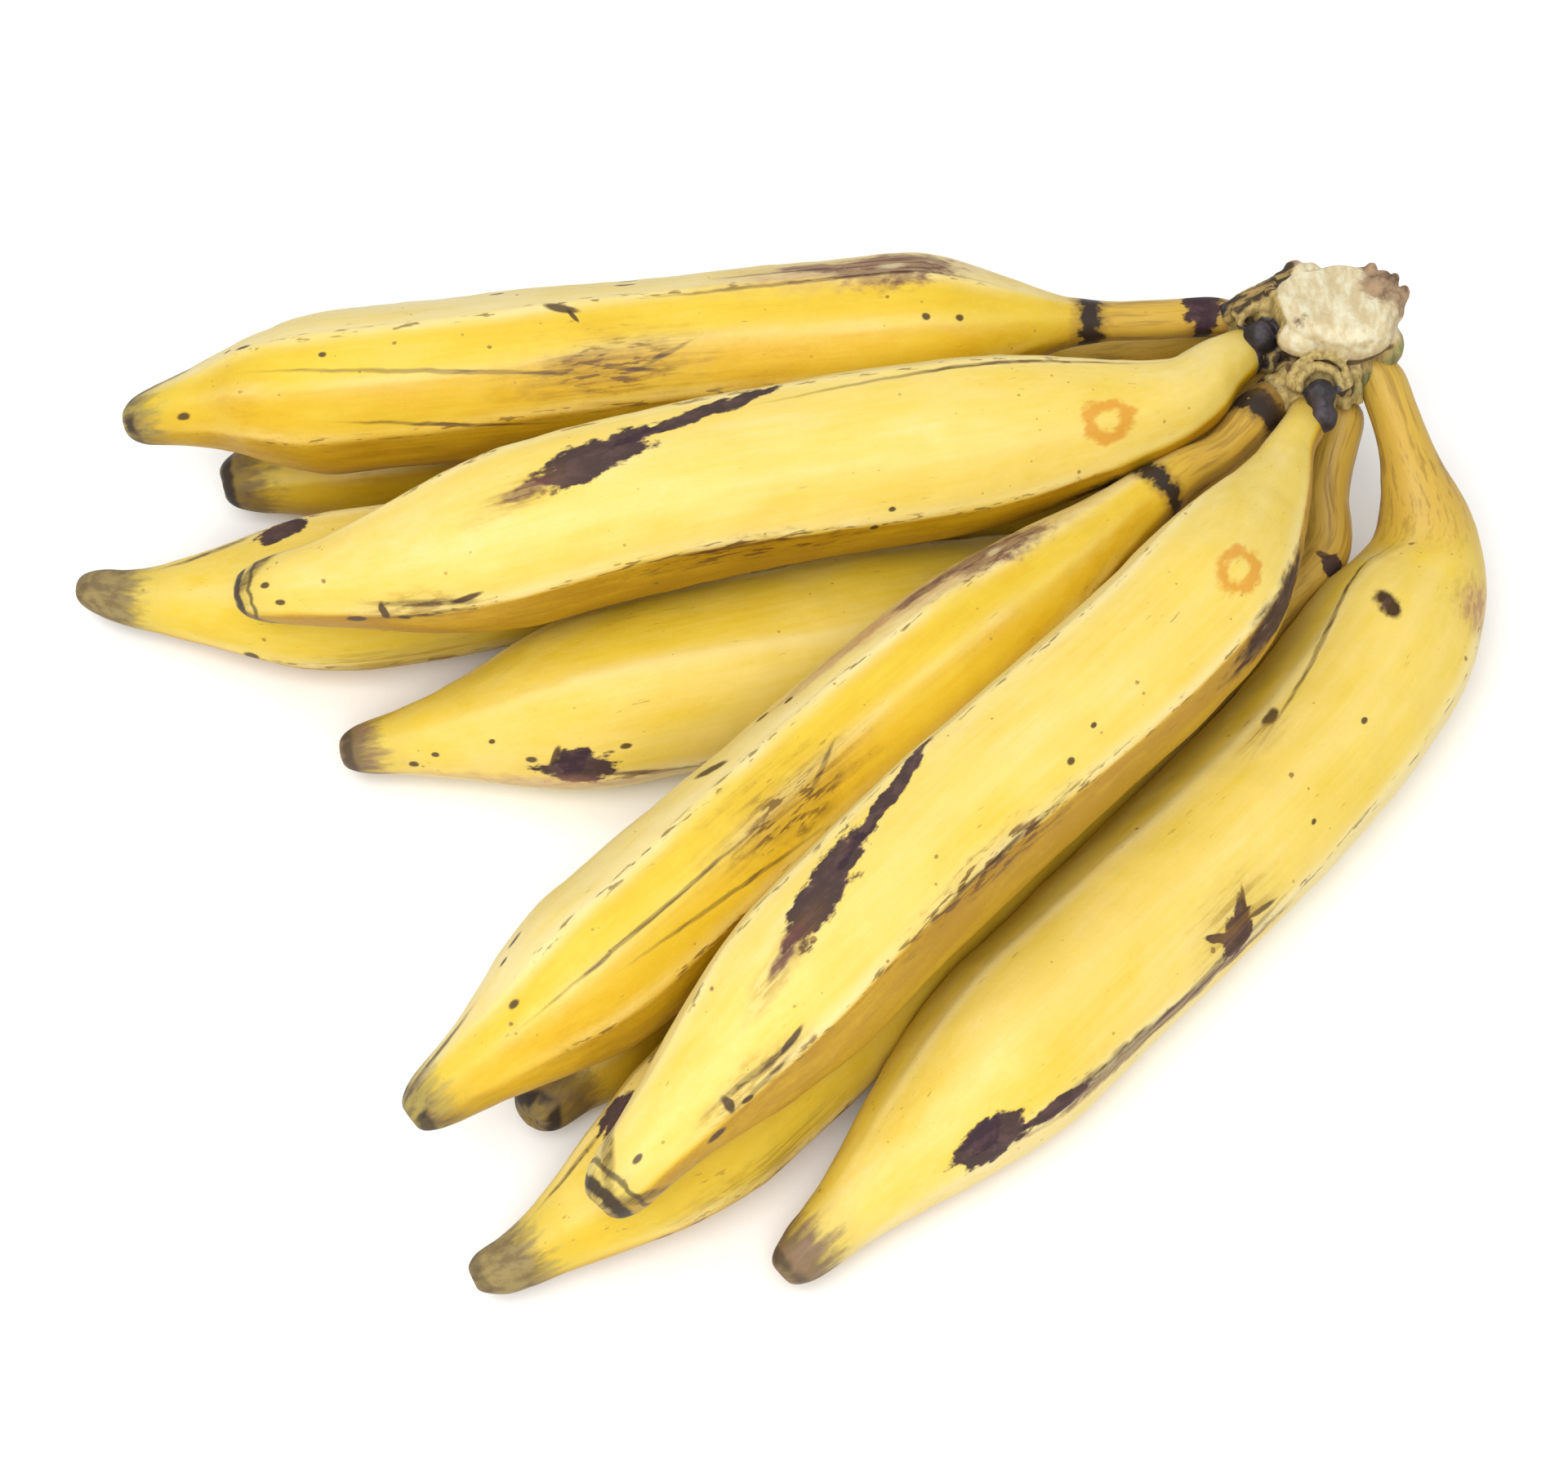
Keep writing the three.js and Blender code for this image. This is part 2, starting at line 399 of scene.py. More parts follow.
@dataclass(frozen=True)
class Mark:
    """One mark on the peel: its place along and about the finger, and its size in millimetres.

    The angle is about the course, from level on the rear side (0) by way of straight up (90), and turn
    is how far the mark's length leans from the finger's, in degrees.
    """

    kind: MarkKind
    along: float
    angle: float
    length: float
    width: float
    turn: float = 0.0


@dataclass(frozen=True)
class Joint:
    """A dark knot on a stalk: its middle, half length and how far it stands out, in millimetres."""

    along: float
    reach: float
    bulge: float


@dataclass(frozen=True)
class Ridge:
    """A lengthwise ridge: its angle, its height as a share of the radius, and the tone of the face after it.

    A tone runs from 0, cream, by way of butter, yellow and gold to 1, deep gold. It is partly the peel's own
    colour and partly painted shade: faces that look down or towards the front get the deeper golds, faces on
    top the paler ones.
    """

    angle: float
    height: float
    tone: float


@dataclass(frozen=True)
class FingerSize:
    """Sizes of one finger in millimetres, as in the construction model, with its ridges and marks."""

    course: tuple[Point, ...]
    stalk: float
    belly: float
    tip: float
    neck: float
    shoulder: float
    taper: float
    ridges: tuple[Ridge, ...]
    olive: float = 42.0
    dry: float = 12.0
    dry_colour: str = "7C6A50"
    rim: float = 0.5
    joints: tuple[Joint, ...] = ()
    marks: tuple[Mark, ...] = ()


M = MarkKind

# Each ridge's tone is partly painted shade: faces that look down or to the front get the deeper golds.
FINGERS: dict[str, FingerSize] = {
    "left_finger_1": FingerSize(
        course=(
            (123, 120, 61), (103, 117.4, 63.2), (60, 113, 66), (-14, 104.5, 65), (-112, 97.5, 58),
            (-146, 99.5, 50), (-172, 98.5, 43),
        ),
        stalk=5.6, belly=23.4, tip=8, neck=34, shoulder=54, taper=60,
        ridges=(
            Ridge(20, 0.06, 0.12), Ridge(85, 0.09, 0.54), Ridge(124, 0.05, 0.7), Ridge(162, 0.08, 0.88),
            Ridge(228, 0.07, 1.0), Ridge(300, 0.06, 0.6),
        ),
        olive=40, dry=7, dry_colour="8A7C46", rim=0.8,
        joints=(Joint(7, 2.0, 0.2), Joint(38, 2.6, 0.9)),
        marks=(
            Mark(M.BLOTCH, 7, 70, 11, 22), Mark(M.FLUSH, 100, 70, 60, 17, 3),
            Mark(M.BRUISE, 90, 72, 30, 17, 4), Mark(M.BRUISE, 112, 66, 16, 6, -6), Mark(M.PALE, 91, 76, 7, 3),
            Mark(M.LINE, 122, 70, 26, 1.2), Mark(M.LINE, 108, 85, 78, 1.2), Mark(M.SPOT, 160, 46, 5, 2.2),
            Mark(M.SPOT, 161, 62, 5.5, 1.8), Mark(M.SPOT, 178, 87, 9, 2.4, -19),
            Mark(M.SPOT, 175, 94, 5, 1.1, -60), Mark(M.SPOT, 195, 52, 4, 1.6), Mark(M.SPOT, 84, 120, 2.2, 2),
            Mark(M.SPOT, 75, 122, 2.2, 2), Mark(M.SMUDGE, 166, 134, 46, 18, 3),
            Mark(M.SCRATCH, 166, 132, 30, 12), Mark(M.LINE, 152, 128, 14, 1.4, 24),
            Mark(M.LINE, 160, 136, 12, 1.2, -12), Mark(M.LINE, 211, 124, 76, 1.3, -7),
            Mark(M.LINE, 210, 161, 46, 1.2, -8), Mark(M.LINE, 286, 58, 26, 2.4, 6),
            Mark(M.SPOT, 254, 50, 3, 2), Mark(M.SPOT, 260, 85, 4, 1.5), Mark(M.SPOT, 266, 78, 2.4, 1.3),
            Mark(M.SPOT, 240, 104, 2.2, 1.6), Mark(M.SPOT, 282, 140, 4, 2.2),
        ),
    ),
    "left_finger_2": FingerSize(
        course=(
            (129, 123, 50), (105, 128, 38), (81, 133, 28), (50, 136, 19), (-10, 130, 17), (-91, 113, 17),
            (-149, 98.5, 16),
        ),
        stalk=6, belly=19.4, tip=9.5, neck=24, shoulder=100, taper=45,
        ridges=(
            Ridge(15, 0.05, 0.3), Ridge(85, 0.06, 0.5), Ridge(150, 0.06, 0.75), Ridge(225, 0.06, 0.9),
            Ridge(300, 0.05, 0.6),
        ),
        olive=50, dry=10, dry_colour="6E5A2E", rim=1.0,
    ),
    "left_finger_3": FingerSize(
        course=(
            (130.5, 109.5, 61), (119.5, 97.5, 66), (98, 80, 69), (13, 59, 72), (-30, 49, 71), (-94, 36, 60),
            (-137, 37, 47),
        ),
        stalk=6, belly=25.6, tip=9, neck=-10, shoulder=115, taper=80,
        ridges=(
            Ridge(0, 0.06, 0.15), Ridge(61, 0.1, 0.28), Ridge(130, 0.015, 0.32), Ridge(166, 0.11, 0.95),
            Ridge(240, 0.06, 1.0), Ridge(310, 0.05, 0.5),
        ),
        olive=0, dry=1, dry_colour="A08A42", rim=1.4,
        marks=(
            Mark(M.RING, 60, 126, 14, 12.5), Mark(M.BLOTCH, 190, 89, 34, 12, 16),
            Mark(M.BLOTCH, 163, 73, 44, 4.5, 13), Mark(M.SMUDGE, 209, 100, 24, 8, 12),
            Mark(M.BRUISE, 207, 98, 14, 4, 12), Mark(M.GASH, 54, 208, 30, 11, -8),
            Mark(M.SCRATCH, 158, 172, 56, 9, -3), Mark(M.LINE, 162, 166, 40, 1.4, -3),
            Mark(M.SMUDGE, 241, 163, 26, 9), Mark(M.LINE, 240, 158, 24, 2.0, -4),
            Mark(M.SPOT, 229, 158, 8, 1.6, 12), Mark(M.SPOT, 249, 163, 1.8, 5.5),
            Mark(M.LINE, 240, 168, 18, 1.2, 6), Mark(M.SPOT, 245, 171, 3, 1.4),
            Mark(M.SPOT, 257, 176, 5, 2.4, 20), Mark(M.SPOT, 125, 171, 2.4, 2),
            Mark(M.SPOT, 120, 160, 2, 1.4), Mark(M.LINE, 284, 84, 22, 2.8, 47),
            Mark(M.LINE, 286, 190, 17, 2.6, -44), Mark(M.SPOT, 280, 120, 3, 1.6),
            Mark(M.SPOT, 276, 150, 3, 1.6), Mark(M.LINE, 90, 70, 90, 1.3, 2),
        ),
    ),
    "left_finger_4": FingerSize(
        course=(
            (141, 107, 51), (122, 106.5, 38.5), (102, 100, 28), (78, 94, 22), (24, 86, 22),
            (-32, 76, 22), (-108, 57, 23), (-165, 60, 14), (-186, 65, 12),
        ),
        stalk=6.3, belly=23.3, tip=6.8, neck=10, shoulder=110, taper=80,
        ridges=(
            Ridge(60, 0.09, 0.36), Ridge(128, 0.06, 0.46), Ridge(195, 0.08, 0.85), Ridge(265, 0.06, 0.95),
            Ridge(338, 0.06, 0.5),
        ),
        olive=60, dry=17, dry_colour="7E6E4E", rim=0.3,
        marks=(
            Mark(M.BLOTCH, 283, 67, 14, 8, 8), Mark(M.LINE, 305, 65, 26, 2, 6),
            Mark(M.SPOT, 293, 190, 3.8, 2.6), Mark(M.SPOT, 286, 197, 4, 2), Mark(M.LINE, 272, 200, 30, 1.4),
            Mark(M.SMUDGE, 258, 190, 44, 9),
        ),
    ),
    "left_finger_5": FingerSize(
        course=(
            (149, 104, 48), (120, 78, 29), (86, 64, 21), (54, 48, 22), (-13, 28, 24), (-74, 15, 18),
            (-111, 11, 12),
        ),
        stalk=6.5, belly=25.4, tip=7.5, neck=27, shoulder=130, taper=75,
        ridges=(
            Ridge(48, 0.08, 0.46), Ridge(112, 0.04, 0.34), Ridge(187, 0.08, 0.14), Ridge(262, 0.06, 0.7),
            Ridge(330, 0.06, 0.5),
        ),
        olive=60, dry=8, dry_colour="6A4E4A", rim=0.6,
        marks=(
            Mark(M.BLOTCH, 235, 170, 21, 9, -3), Mark(M.BLOTCH, 236, 163, 10, 7, 40),
            Mark(M.SPOT, 240, 159, 7, 1.8, 60), Mark(M.SPOT, 246, 160, 3, 2), Mark(M.SPOT, 222, 158, 3, 1.6),
            Mark(M.LINE, 214, 184, 34, 1.8, -14), Mark(M.FLUSH, 246, 190, 60, 8),
            Mark(M.SPOT, 270, 150, 2, 1.6), Mark(M.SPOT, 276, 165, 2.6, 1.8),
            Mark(M.SPOT, 255, 140, 1.8, 1.4),
        ),
    ),
    "front_finger_1": FingerSize(
        course=(
            (132, 90, 60), (120, 74, 61), (104, 61, 63), (57.5, 14.5, 62.5), (21, -22.5, 61.5),
            (-46.5, -87, 53.5), (-85, -116.5, 42),
        ),
        stalk=5.9, belly=22.8, tip=8, neck=22, shoulder=108, taper=60,
        ridges=(
            Ridge(11, 0.06, 0.12), Ridge(77, 0.09, 0.54), Ridge(114, 0.05, 0.7), Ridge(151, 0.08, 0.9),
            Ridge(219, 0.07, 1.0), Ridge(291, 0.06, 0.6),
        ),
        olive=40, dry=7, dry_colour="8A7C46", rim=0.8,
        joints=(Joint(4, 4, 1.2), Joint(45, 2.0, 0.9)),
        marks=(
            Mark(M.FLUSH, 112, 54, 70, 15, -6), Mark(M.BRUISE, 97, 56, 30, 16, -10),
            Mark(M.BRUISE, 120, 50, 18, 7, -6), Mark(M.PALE, 97, 60, 6, 3),
            Mark(M.SMUDGE, 188, 115, 46, 18, -4), Mark(M.SCRATCH, 190, 120, 30, 12),
            Mark(M.LINE, 176, 112, 14, 1.4, 24), Mark(M.FLUSH, 150, 46, 40, 7, -5),
            Mark(M.SPOT, 194, 52, 9, 3.4, -36), Mark(M.SPOT, 173, 38, 4, 2.4), Mark(M.SPOT, 166, 48, 3, 2),
            Mark(M.SPOT, 258, 42, 5, 1.8), Mark(M.SPOT, 264, 52, 3, 1.6), Mark(M.SPOT, 269, 94, 3, 2),
            Mark(M.LINE, 215, 135, 50, 1.2, -6), Mark(M.LINE, 230, 114, 70, 1.2),
            Mark(M.LINE, 290, 58, 24, 1.8, 4),
        ),
    ),
    "front_finger_2": FingerSize(
        course=(
            (140, 100, 52), (122, 81, 47), (71, 26, 36), (40, 2, 25), (6, -27, 16), (-44, -79, 14),
            (-58, -101, 15),
        ),
        stalk=5.9, belly=16, tip=9.3, neck=48, shoulder=165, taper=28,
        ridges=(
            Ridge(6, 0.05, 0.3), Ridge(76, 0.06, 0.5), Ridge(141, 0.06, 0.75), Ridge(216, 0.06, 0.9),
            Ridge(291, 0.05, 0.6),
        ),
        olive=70, dry=12, dry_colour="6E5A2E", rim=1.0,
    ),
    "front_finger_3": FingerSize(
        course=(
            (143.5, 85.5, 61), (137.6, 71.5, 65.5), (127.2, 46, 69), (101.5, 4, 73.5),
            (36, -65.5, 73), (-12.5, -118, 62), (-38.5, -144, 49),
        ),
        stalk=6, belly=23.2, tip=9.3, neck=4, shoulder=80, taper=75,
        ridges=(
            Ridge(350, 0.06, 0.15), Ridge(52, 0.1, 0.28), Ridge(105, 0.015, 0.32), Ridge(146, 0.11, 0.96),
            Ridge(214, 0.06, 1.0), Ridge(280, 0.05, 0.6),
        ),
        olive=0, dry=1, dry_colour="A08A42", rim=1.4,
        marks=(
            Mark(M.RING, 79, 115, 14, 12.5), Mark(M.BLOTCH, 213, 77, 38, 11, 18),
            Mark(M.BLOTCH, 187, 62, 44, 4.5, 14), Mark(M.SMUDGE, 234, 92, 26, 7, 12),
            Mark(M.BRUISE, 232, 89, 14, 4, 12), Mark(M.GASH, 76, 162, 38, 13, 6),
            Mark(M.SCRATCH, 182, 146, 56, 9), Mark(M.LINE, 180, 144, 46, 1.4),
            Mark(M.SMUDGE, 258, 139, 26, 9), Mark(M.LINE, 257, 134, 24, 2.0, -4),
            Mark(M.SPOT, 246, 134, 8, 1.6, 12), Mark(M.SPOT, 266, 139, 1.8, 5.5),
            Mark(M.LINE, 257, 144, 18, 1.2, 6), Mark(M.SPOT, 262, 147, 3, 1.4),
            Mark(M.SPOT, 272, 160, 5, 2.4, 20), Mark(M.SPOT, 149, 130, 2.4, 2),
            Mark(M.SPOT, 138, 122, 2, 1.4), Mark(M.LINE, 292, 66, 22, 2.8, 50),
            Mark(M.LINE, 294, 162, 17, 2.6, -44), Mark(M.SPOT, 288, 110, 3, 1.6),
        ),
    ),
    "front_finger_4": FingerSize(
        course=(
            (155, 97, 50), (150, 80, 36.5), (149, 63, 27), (125, 40, 22), (82, 1, 20),
            (46, -37, 20), (-18, -110, 23), (-56, -139, 15), (-70, -145, 12),
        ),
        stalk=6.7, belly=23.3, tip=7, neck=26, shoulder=170, taper=72,
        ridges=(
            Ridge(51, 0.09, 0.36), Ridge(119, 0.06, 0.5), Ridge(183, 0.08, 0.85), Ridge(257, 0.06, 0.95),
            Ridge(329, 0.06, 0.5),
        ),
        olive=75, dry=15, dry_colour="7E6E4E", rim=0.3,
        marks=(
            Mark(M.BLOTCH, 45, 132, 5, 9), Mark(M.SPOT, 44, 100, 2.4, 5), Mark(M.SMUDGE, 24, 88, 46, 9),
            Mark(M.BLOTCH, 299, 62, 14, 8, -12), Mark(M.LINE, 316, 60, 22, 1.6),
            Mark(M.SPOT, 308, 189, 3.8, 2.6), Mark(M.SPOT, 300, 190, 4, 2), Mark(M.SMUDGE, 280, 170, 40, 9),
        ),
    ),
    "front_finger_5": FingerSize(
        course=(
            (163, 103.5, 59), (171.6, 80, 47), (176, 62, 31), (166, 40, 24),
            (136, -4, 23), (61, -87, 23), (14, -135, 15), (5, -143, 12),
        ),
        stalk=7.0, belly=26.2, tip=7.5, neck=16, shoulder=74, taper=85,
        ridges=(
            Ridge(5, 0.05, 0.44), Ridge(66, 0.05, 0.33), Ridge(110, 0.02, 0.33), Ridge(163, 0.09, 0.14),
            Ridge(232, 0.06, 0.8), Ridge(300, 0.05, 0.8),
        ),
        olive=48, dry=10, dry_colour="6A4E4A", rim=0.6,
        marks=(
            Mark(M.BLOTCH, 270, 149, 19, 11), Mark(M.BLOTCH, 271, 142, 9, 8, 50),
            Mark(M.BLOTCH, 252, 157, 22, 3.6, -6), Mark(M.BLOTCH, 186, 158, 14, 9, 30),
            Mark(M.BLOTCH, 183, 152, 13, 4, 60), Mark(M.BLOTCH, 190, 153, 12, 3.2, -40),
            Mark(M.SPOT, 180, 147, 10, 1.6, 66), Mark(M.SPOT, 176, 157, 12, 1.6, -12),
            Mark(M.SMUDGE, 184, 152, 26, 20), Mark(M.GASH, 85, 90, 9, 6.5, 60),
            Mark(M.SMUDGE, 65, 148, 16, 14), Mark(M.FLUSH, 66, 150, 13, 11),
            Mark(M.LINE, 95, 64, 85, 1.4, 10), Mark(M.SPOT, 136, 75, 7, 4, 20),
            Mark(M.SMUDGE, 142, 80, 14, 7), Mark(M.LINE, 222, 162, 60, 3, -6),
            Mark(M.LINE, 196, 163, 50, 1.6), Mark(M.BRUISE, 215, 168, 90, 5, -3),
            Mark(M.SPOT, 120, 120, 2.2, 1.8), Mark(M.SPOT, 150, 140, 2, 1.6),
        ),
    ),
}


@dataclass(frozen=True)
class PeelColours:
    """Colours of the ripe peel, its stalk and its tip; the gold and deep gold also paint the shade on the
    lower and front faces.
    """

    cream: str = "DACA94"
    butter: str = "D7BE64"
    yellow: str = "D0B233"
    gold: str = "C89F17"
    deep: str = "A47A06"
    olive: str = "BA963C"
    brown: str = "6E5028"
    char: str = "241C1C"


class Finger:
    """One plantain finger with its stalk and tip, which grew as one piece."""

    ROOT_DEPTH = 0.5
    ROOT_TARGET = (148.0, 104.0)
    SIDE_STEP = 11.5
    RINGS = 68
    FACING = 110.0
    TIP_RINGS = ((-8.0, 1.0), (-5.4, 0.97), (-2.8, 0.9), (-0.6, 0.79), (1.2, 0.64), (2.3, 0.46), (2.5, 0.28))
    TIP_NUB = 1.4
    TIP_SPARE = 6.0
    TOUCH_GAP = 0.25
    SAMPLES = 140
    POINTS_PER_SPAN = 80
    RIDGE_SPREAD = 16.0
    RIDGE_ROUND = 2.6
    RIDGE_WIDTH = 2.6
    RIDGE_HEIGHT = 0.5
    WANDER = 4.0
    WANDER_LENGTH = 190.0
    PLAIN_REACH = 0.97
    STALK_SHARE = 0.3
    LEAST_LEFT = 0.3
    PRESS_STEPS = 7
    TONE_BLEND = 1.6
    STRONG_RIDGE = 0.08
    LUMPS = ((24.0, 1.2), (7.0, 0.3))

    def __init__(self, node: str, size: FingerSize, seed: int) -> None:
        """Lay out the finger's course.

        Args:
            node: Name of the node that the finger replaces.
            size: The finger's sizes.
            seed: Number that sets its unevenness apart from the other fingers'.
        """
        self.node = node
        self.size = size
        self.seed = seed
        first = np.array(size.course[0], float)
        root = first + self.ROOT_DEPTH * (np.array([*self.ROOT_TARGET, first[2]]) - first)
        self.root_length = float(np.linalg.norm(root - first))
        line = self._line(np.vstack([root, np.array(size.course, float)]))
        steps = np.linalg.norm(np.diff(line, axis=0), axis=1)
        self.length = float(steps.sum()) - self.root_length
        end = line[-1] + (line[-1] - line[-2]) / steps[-1] * self.TIP_SPARE
        self.line = np.vstack([line, end])
        passed = np.concatenate([[0.0], np.cumsum(steps), [steps.sum() + self.TIP_SPARE]])
        self.line_along = passed - self.root_length
        self.ridge_reach = max(float(self._section(math.radians(ridge.angle))) for ridge in size.ridges)
        self.samples = np.linspace(-self.root_length, self.length, self.SAMPLES)

    def _line(self, points: np.ndarray) -> np.ndarray:
        """Draw a smooth line through the course's points.

        Args:
            points: The points, in millimetres.

        Returns:
            Many close points along the line.
        """
        ends = np.vstack([2 * points[0] - points[1], points, 2 * points[-1] - points[-2]])
        spans = []
        for i in range(len(ends) - 3):
            before, start, end, after = ends[i : i + 4]
            is_last = i == len(ends) - 4
            t = np.linspace(0, 1, self.POINTS_PER_SPAN, endpoint=is_last)[:, None]
            leave, arrive = (end - before) / 2, (after - start) / 2
            cubic = (2 * start - 2 * end + leave + arrive) * t**3
            square = (-3 * start + 3 * end - 2 * leave - arrive) * t**2
            spans.append(cubic + square + leave * t + start)
        return np.vstack(spans)

    def _wander(self, along: np.ndarray) -> np.ndarray:
        """Give how far the ridges wander about the finger at a distance along it, in radians."""
        turn = 2 * math.pi * along / self.WANDER_LENGTH + self.seed * 2.4
        return math.radians(self.WANDER) * np.sin(turn)

    def _section(self, angle: np.ndarray) -> np.ndarray:
        """Give the section's reach at an angle: a circle with rounded ridges standing on it."""
        spread, rounding = math.radians(self.RIDGE_SPREAD), math.radians(self.RIDGE_ROUND)
        reach = 1 - max(ridge.height for ridge in self.size.ridges)
        for ridge in self.size.ridges:
            gap = (angle - math.radians(ridge.angle) + math.pi) % (2 * math.pi) - math.pi
            reach = reach + ridge.height * np.exp((rounding - np.sqrt(gap**2 + rounding**2)) / spread)
        return reach

    def radius(self, along: np.ndarray) -> np.ndarray:
        """Give the radius at a distance along the finger, knots included.

        Args:
            along: Distance from the crown in millimetres.

        Returns:
            The radius in millimetres.
        """
        size = self.size
        swollen = size.stalk + (size.belly - size.stalk) * smoothstep((along - size.neck) / size.shoulder)
        ending = smoothstep((along - self.length + size.taper) / size.taper)
        radius = swollen + (size.tip - swollen) * ending
        for joint in size.joints:
            radius = radius + joint.bulge * np.exp(-(((along - joint.along) / joint.reach) ** 2))
        return radius

    def fullness(self, along: np.ndarray) -> np.ndarray:
        """Give 0 on the stalk and 1 on the belly, where the faces are flattest."""
        size = self.size
        return smoothstep((self.radius(along) - size.stalk) / (size.belly - size.stalk))

    def frames(self, along: np.ndarray) -> tuple[np.ndarray, np.ndarray, np.ndarray]:
        """Give the middle, the level side and the upward side at distances along the finger.

        Args:
            along: Distances from the crown in millimetres.

        Returns:
            Three arrays with a row for each distance.
        """
        step = 0.5
        at = [
            np.stack([np.interp(along + d, self.line_along, self.line[:, k]) for k in range(3)], -1)
            for d in (-step, 0.0, step)
        ]
        forward = at[2] - at[0]
        forward /= np.linalg.norm(forward, axis=1, keepdims=True)
        up = np.array([0.0, 0.0, 1.0]) - forward * forward[:, 2:3]
        up /= np.linalg.norm(up, axis=1, keepdims=True)
        return at[1], np.cross(forward, up), up

    def reach(self, along: np.ndarray, angle: np.ndarray) -> np.ndarray:
        """Give the distance from the middle line to the full skin, in millimetres."""
        shape = self._section(angle - self._wander(along)) / self.ridge_reach
        share = self.STALK_SHARE + (1 - self.STALK_SHARE) * self.fullness(along)
        return self.radius(along) * (self.PLAIN_REACH + (shape - self.PLAIN_REACH) * share)

    def depth_of(self, points: np.ndarray) -> np.ndarray:
        """Give how deep points lie inside the full skin; outside it is negative.

        Args:
            points: Rows of places in millimetres.

        Returns:
            One depth for each point.
        """
        middle, side, up = self.frames(self.samples)
        gaps = np.linalg.norm(points[:, None] - middle[None], axis=2)
        near = gaps.argmin(1)
        offset = points - middle[near]
        angle = np.arctan2((offset * up[near]).sum(1), (offset * side[near]).sum(1))
        return self.reach(self.samples[near], angle) - gaps[np.arange(len(points)), near]

    def _pressed(
        self, middle: np.ndarray, out: np.ndarray, reach: np.ndarray, others: list["Finger"]
    ) -> np.ndarray:
        """Press the skin in where neighbours touch, so that both are dented alike.

        Args:
            middle: Middle of the finger for each vertex.
            out: Unit vector from the middle to the vertex.
            reach: Full distance from the middle to the vertex.
            others: The other fingers.

        Returns:
            The share of the reach that is left.
        """
        low = np.full(len(reach), self.LEAST_LEFT)
        high = np.ones(len(reach))

        def is_clear(share: np.ndarray) -> np.ndarray:
            points = middle + out * (reach * share)[:, None]
            dent = (1 - share) * reach - self.TOUCH_GAP / 2
            return np.all([other.depth_of(points) <= dent for other in others], axis=0)

        free = is_clear(high)
        for _ in range(self.PRESS_STEPS):
            half = (low + high) / 2
            clear = is_clear(half)
            low = np.where(clear, half, low)
            high = np.where(clear, high, half)
        return np.where(free, 1.0, low)

    def _rings(self) -> tuple[np.ndarray, np.ndarray]:
        """List each ring's distance along the finger and its share of the radius."""
        last, _ = self.TIP_RINGS[0]
        plain = np.linspace(-self.root_length, self.length + last, self.RINGS)
        along = np.concatenate([plain, [self.length + at for at, _ in self.TIP_RINGS[1:]]])
        share = np.concatenate([np.ones(self.RINGS), [part for _, part in self.TIP_RINGS[1:]]])
        return along, share

    def _side_angles(self) -> np.ndarray:
        """List the angles of the mesh's sides, with one on each ridge."""
        ridges = sorted(ridge.angle for ridge in self.size.ridges)
        spans = zip(ridges, [*ridges[1:], ridges[0] + 360])
        parts = [np.linspace(a, b, max(2, round((b - a) / self.SIDE_STEP)), endpoint=False) for a, b in spans]
        return np.radians(np.concatenate(parts))

    def _tube(self, rings: int, sides: int) -> bpy.types.Object:
        """Add a straight tube of the finger's length, cut into rings.

        Args:
            rings: Number of rings of vertices.
            sides: Number of sides.

        Returns:
            The tube.
        """
        deselect_all()
        bpy.ops.mesh.primitive_cylinder_add(
            vertices=sides, radius=self.size.belly * MM, depth=self.length * MM, end_fill_type="TRIFAN"
        )
        piece = bpy.context.object
        piece.name = f"{self.node}_skin"
        cut_rings(piece, self.length * MM, rings)
        return piece

    def _bend(self, piece: bpy.types.Object, others: list["Finger"]) -> None:
        """Lay the straight tube along the course and press it against its neighbours.

        Args:
            piece: The tube.
            others: The other fingers.
        """
        ring_along, ring_share = self._rings()
        sides = self._side_angles()
        flat = read_vertices(piece.data)
        ring = np.rint((0.5 - flat[:, 2] / (self.length * MM)) * (len(ring_along) - 1)).astype(int)
        on_axis = np.hypot(flat[:, 0], flat[:, 1]) < self.size.belly * MM / 2
        turn = np.arctan2(-flat[:, 0], flat[:, 1]) / (2 * math.pi)
        angle = sides[np.rint(turn * len(sides)).astype(int) % len(sides)]
        along = ring_along[ring]
        along = np.where(on_axis & (ring > 0), self.length + self.TIP_NUB, along)
        share = np.where(on_axis, 0.0, ring_share[ring])
        middle, side, up = self.frames(along)
        out = side * np.cos(angle)[:, None] + up * np.sin(angle)[:, None]
        reach = self.reach(along, angle) * share
        left = self._pressed(middle, out, np.maximum(reach, 0.01), others)
        places = middle + out * (reach * left)[:, None]
        write_vertices(piece.data, places * MM)
        facing = angle - math.radians(self.FACING)
        round_place = np.stack([along, np.cos(facing) * ~on_axis, np.sin(facing) * ~on_axis], 1)
        store(piece.data, "peel", round_place)

    def _tones_and_shade(self, angle: np.ndarray, radius: np.ndarray) -> np.ndarray:
        """Give each place the tone of the face that it lies on, with narrow blends at the ridges; the tones
        are partly the peel's own colour and partly painted shade, deeper on faces that look down or to the
        front.

        Args:
            angle: Angle of each place in degrees, with the ridges' wander taken off.
            radius: Radius of the finger at each place, in millimetres.

        Returns:
            The tones, from 0 to 1.
        """
        ridges = sorted(self.size.ridges, key=lambda ridge: ridge.angle)
        tone = np.full(len(angle), ridges[-1].tone)
        angle = (angle - ridges[0].angle) % 360 + ridges[0].angle
        last = ridges[-1].tone
        for ridge in ridges:
            past = np.radians(angle - ridge.angle) * radius
            tone = tone + (ridge.tone - last) * smoothstep((past + self.TONE_BLEND) / (2 * self.TONE_BLEND))
            last = ridge.tone
        closing = np.radians(ridges[0].angle + 360 - angle) * radius
        seam = smoothstep((self.TONE_BLEND - closing) / (2 * self.TONE_BLEND))
        return tone + (ridges[0].tone - ridges[-1].tone) * 0.5 * seam

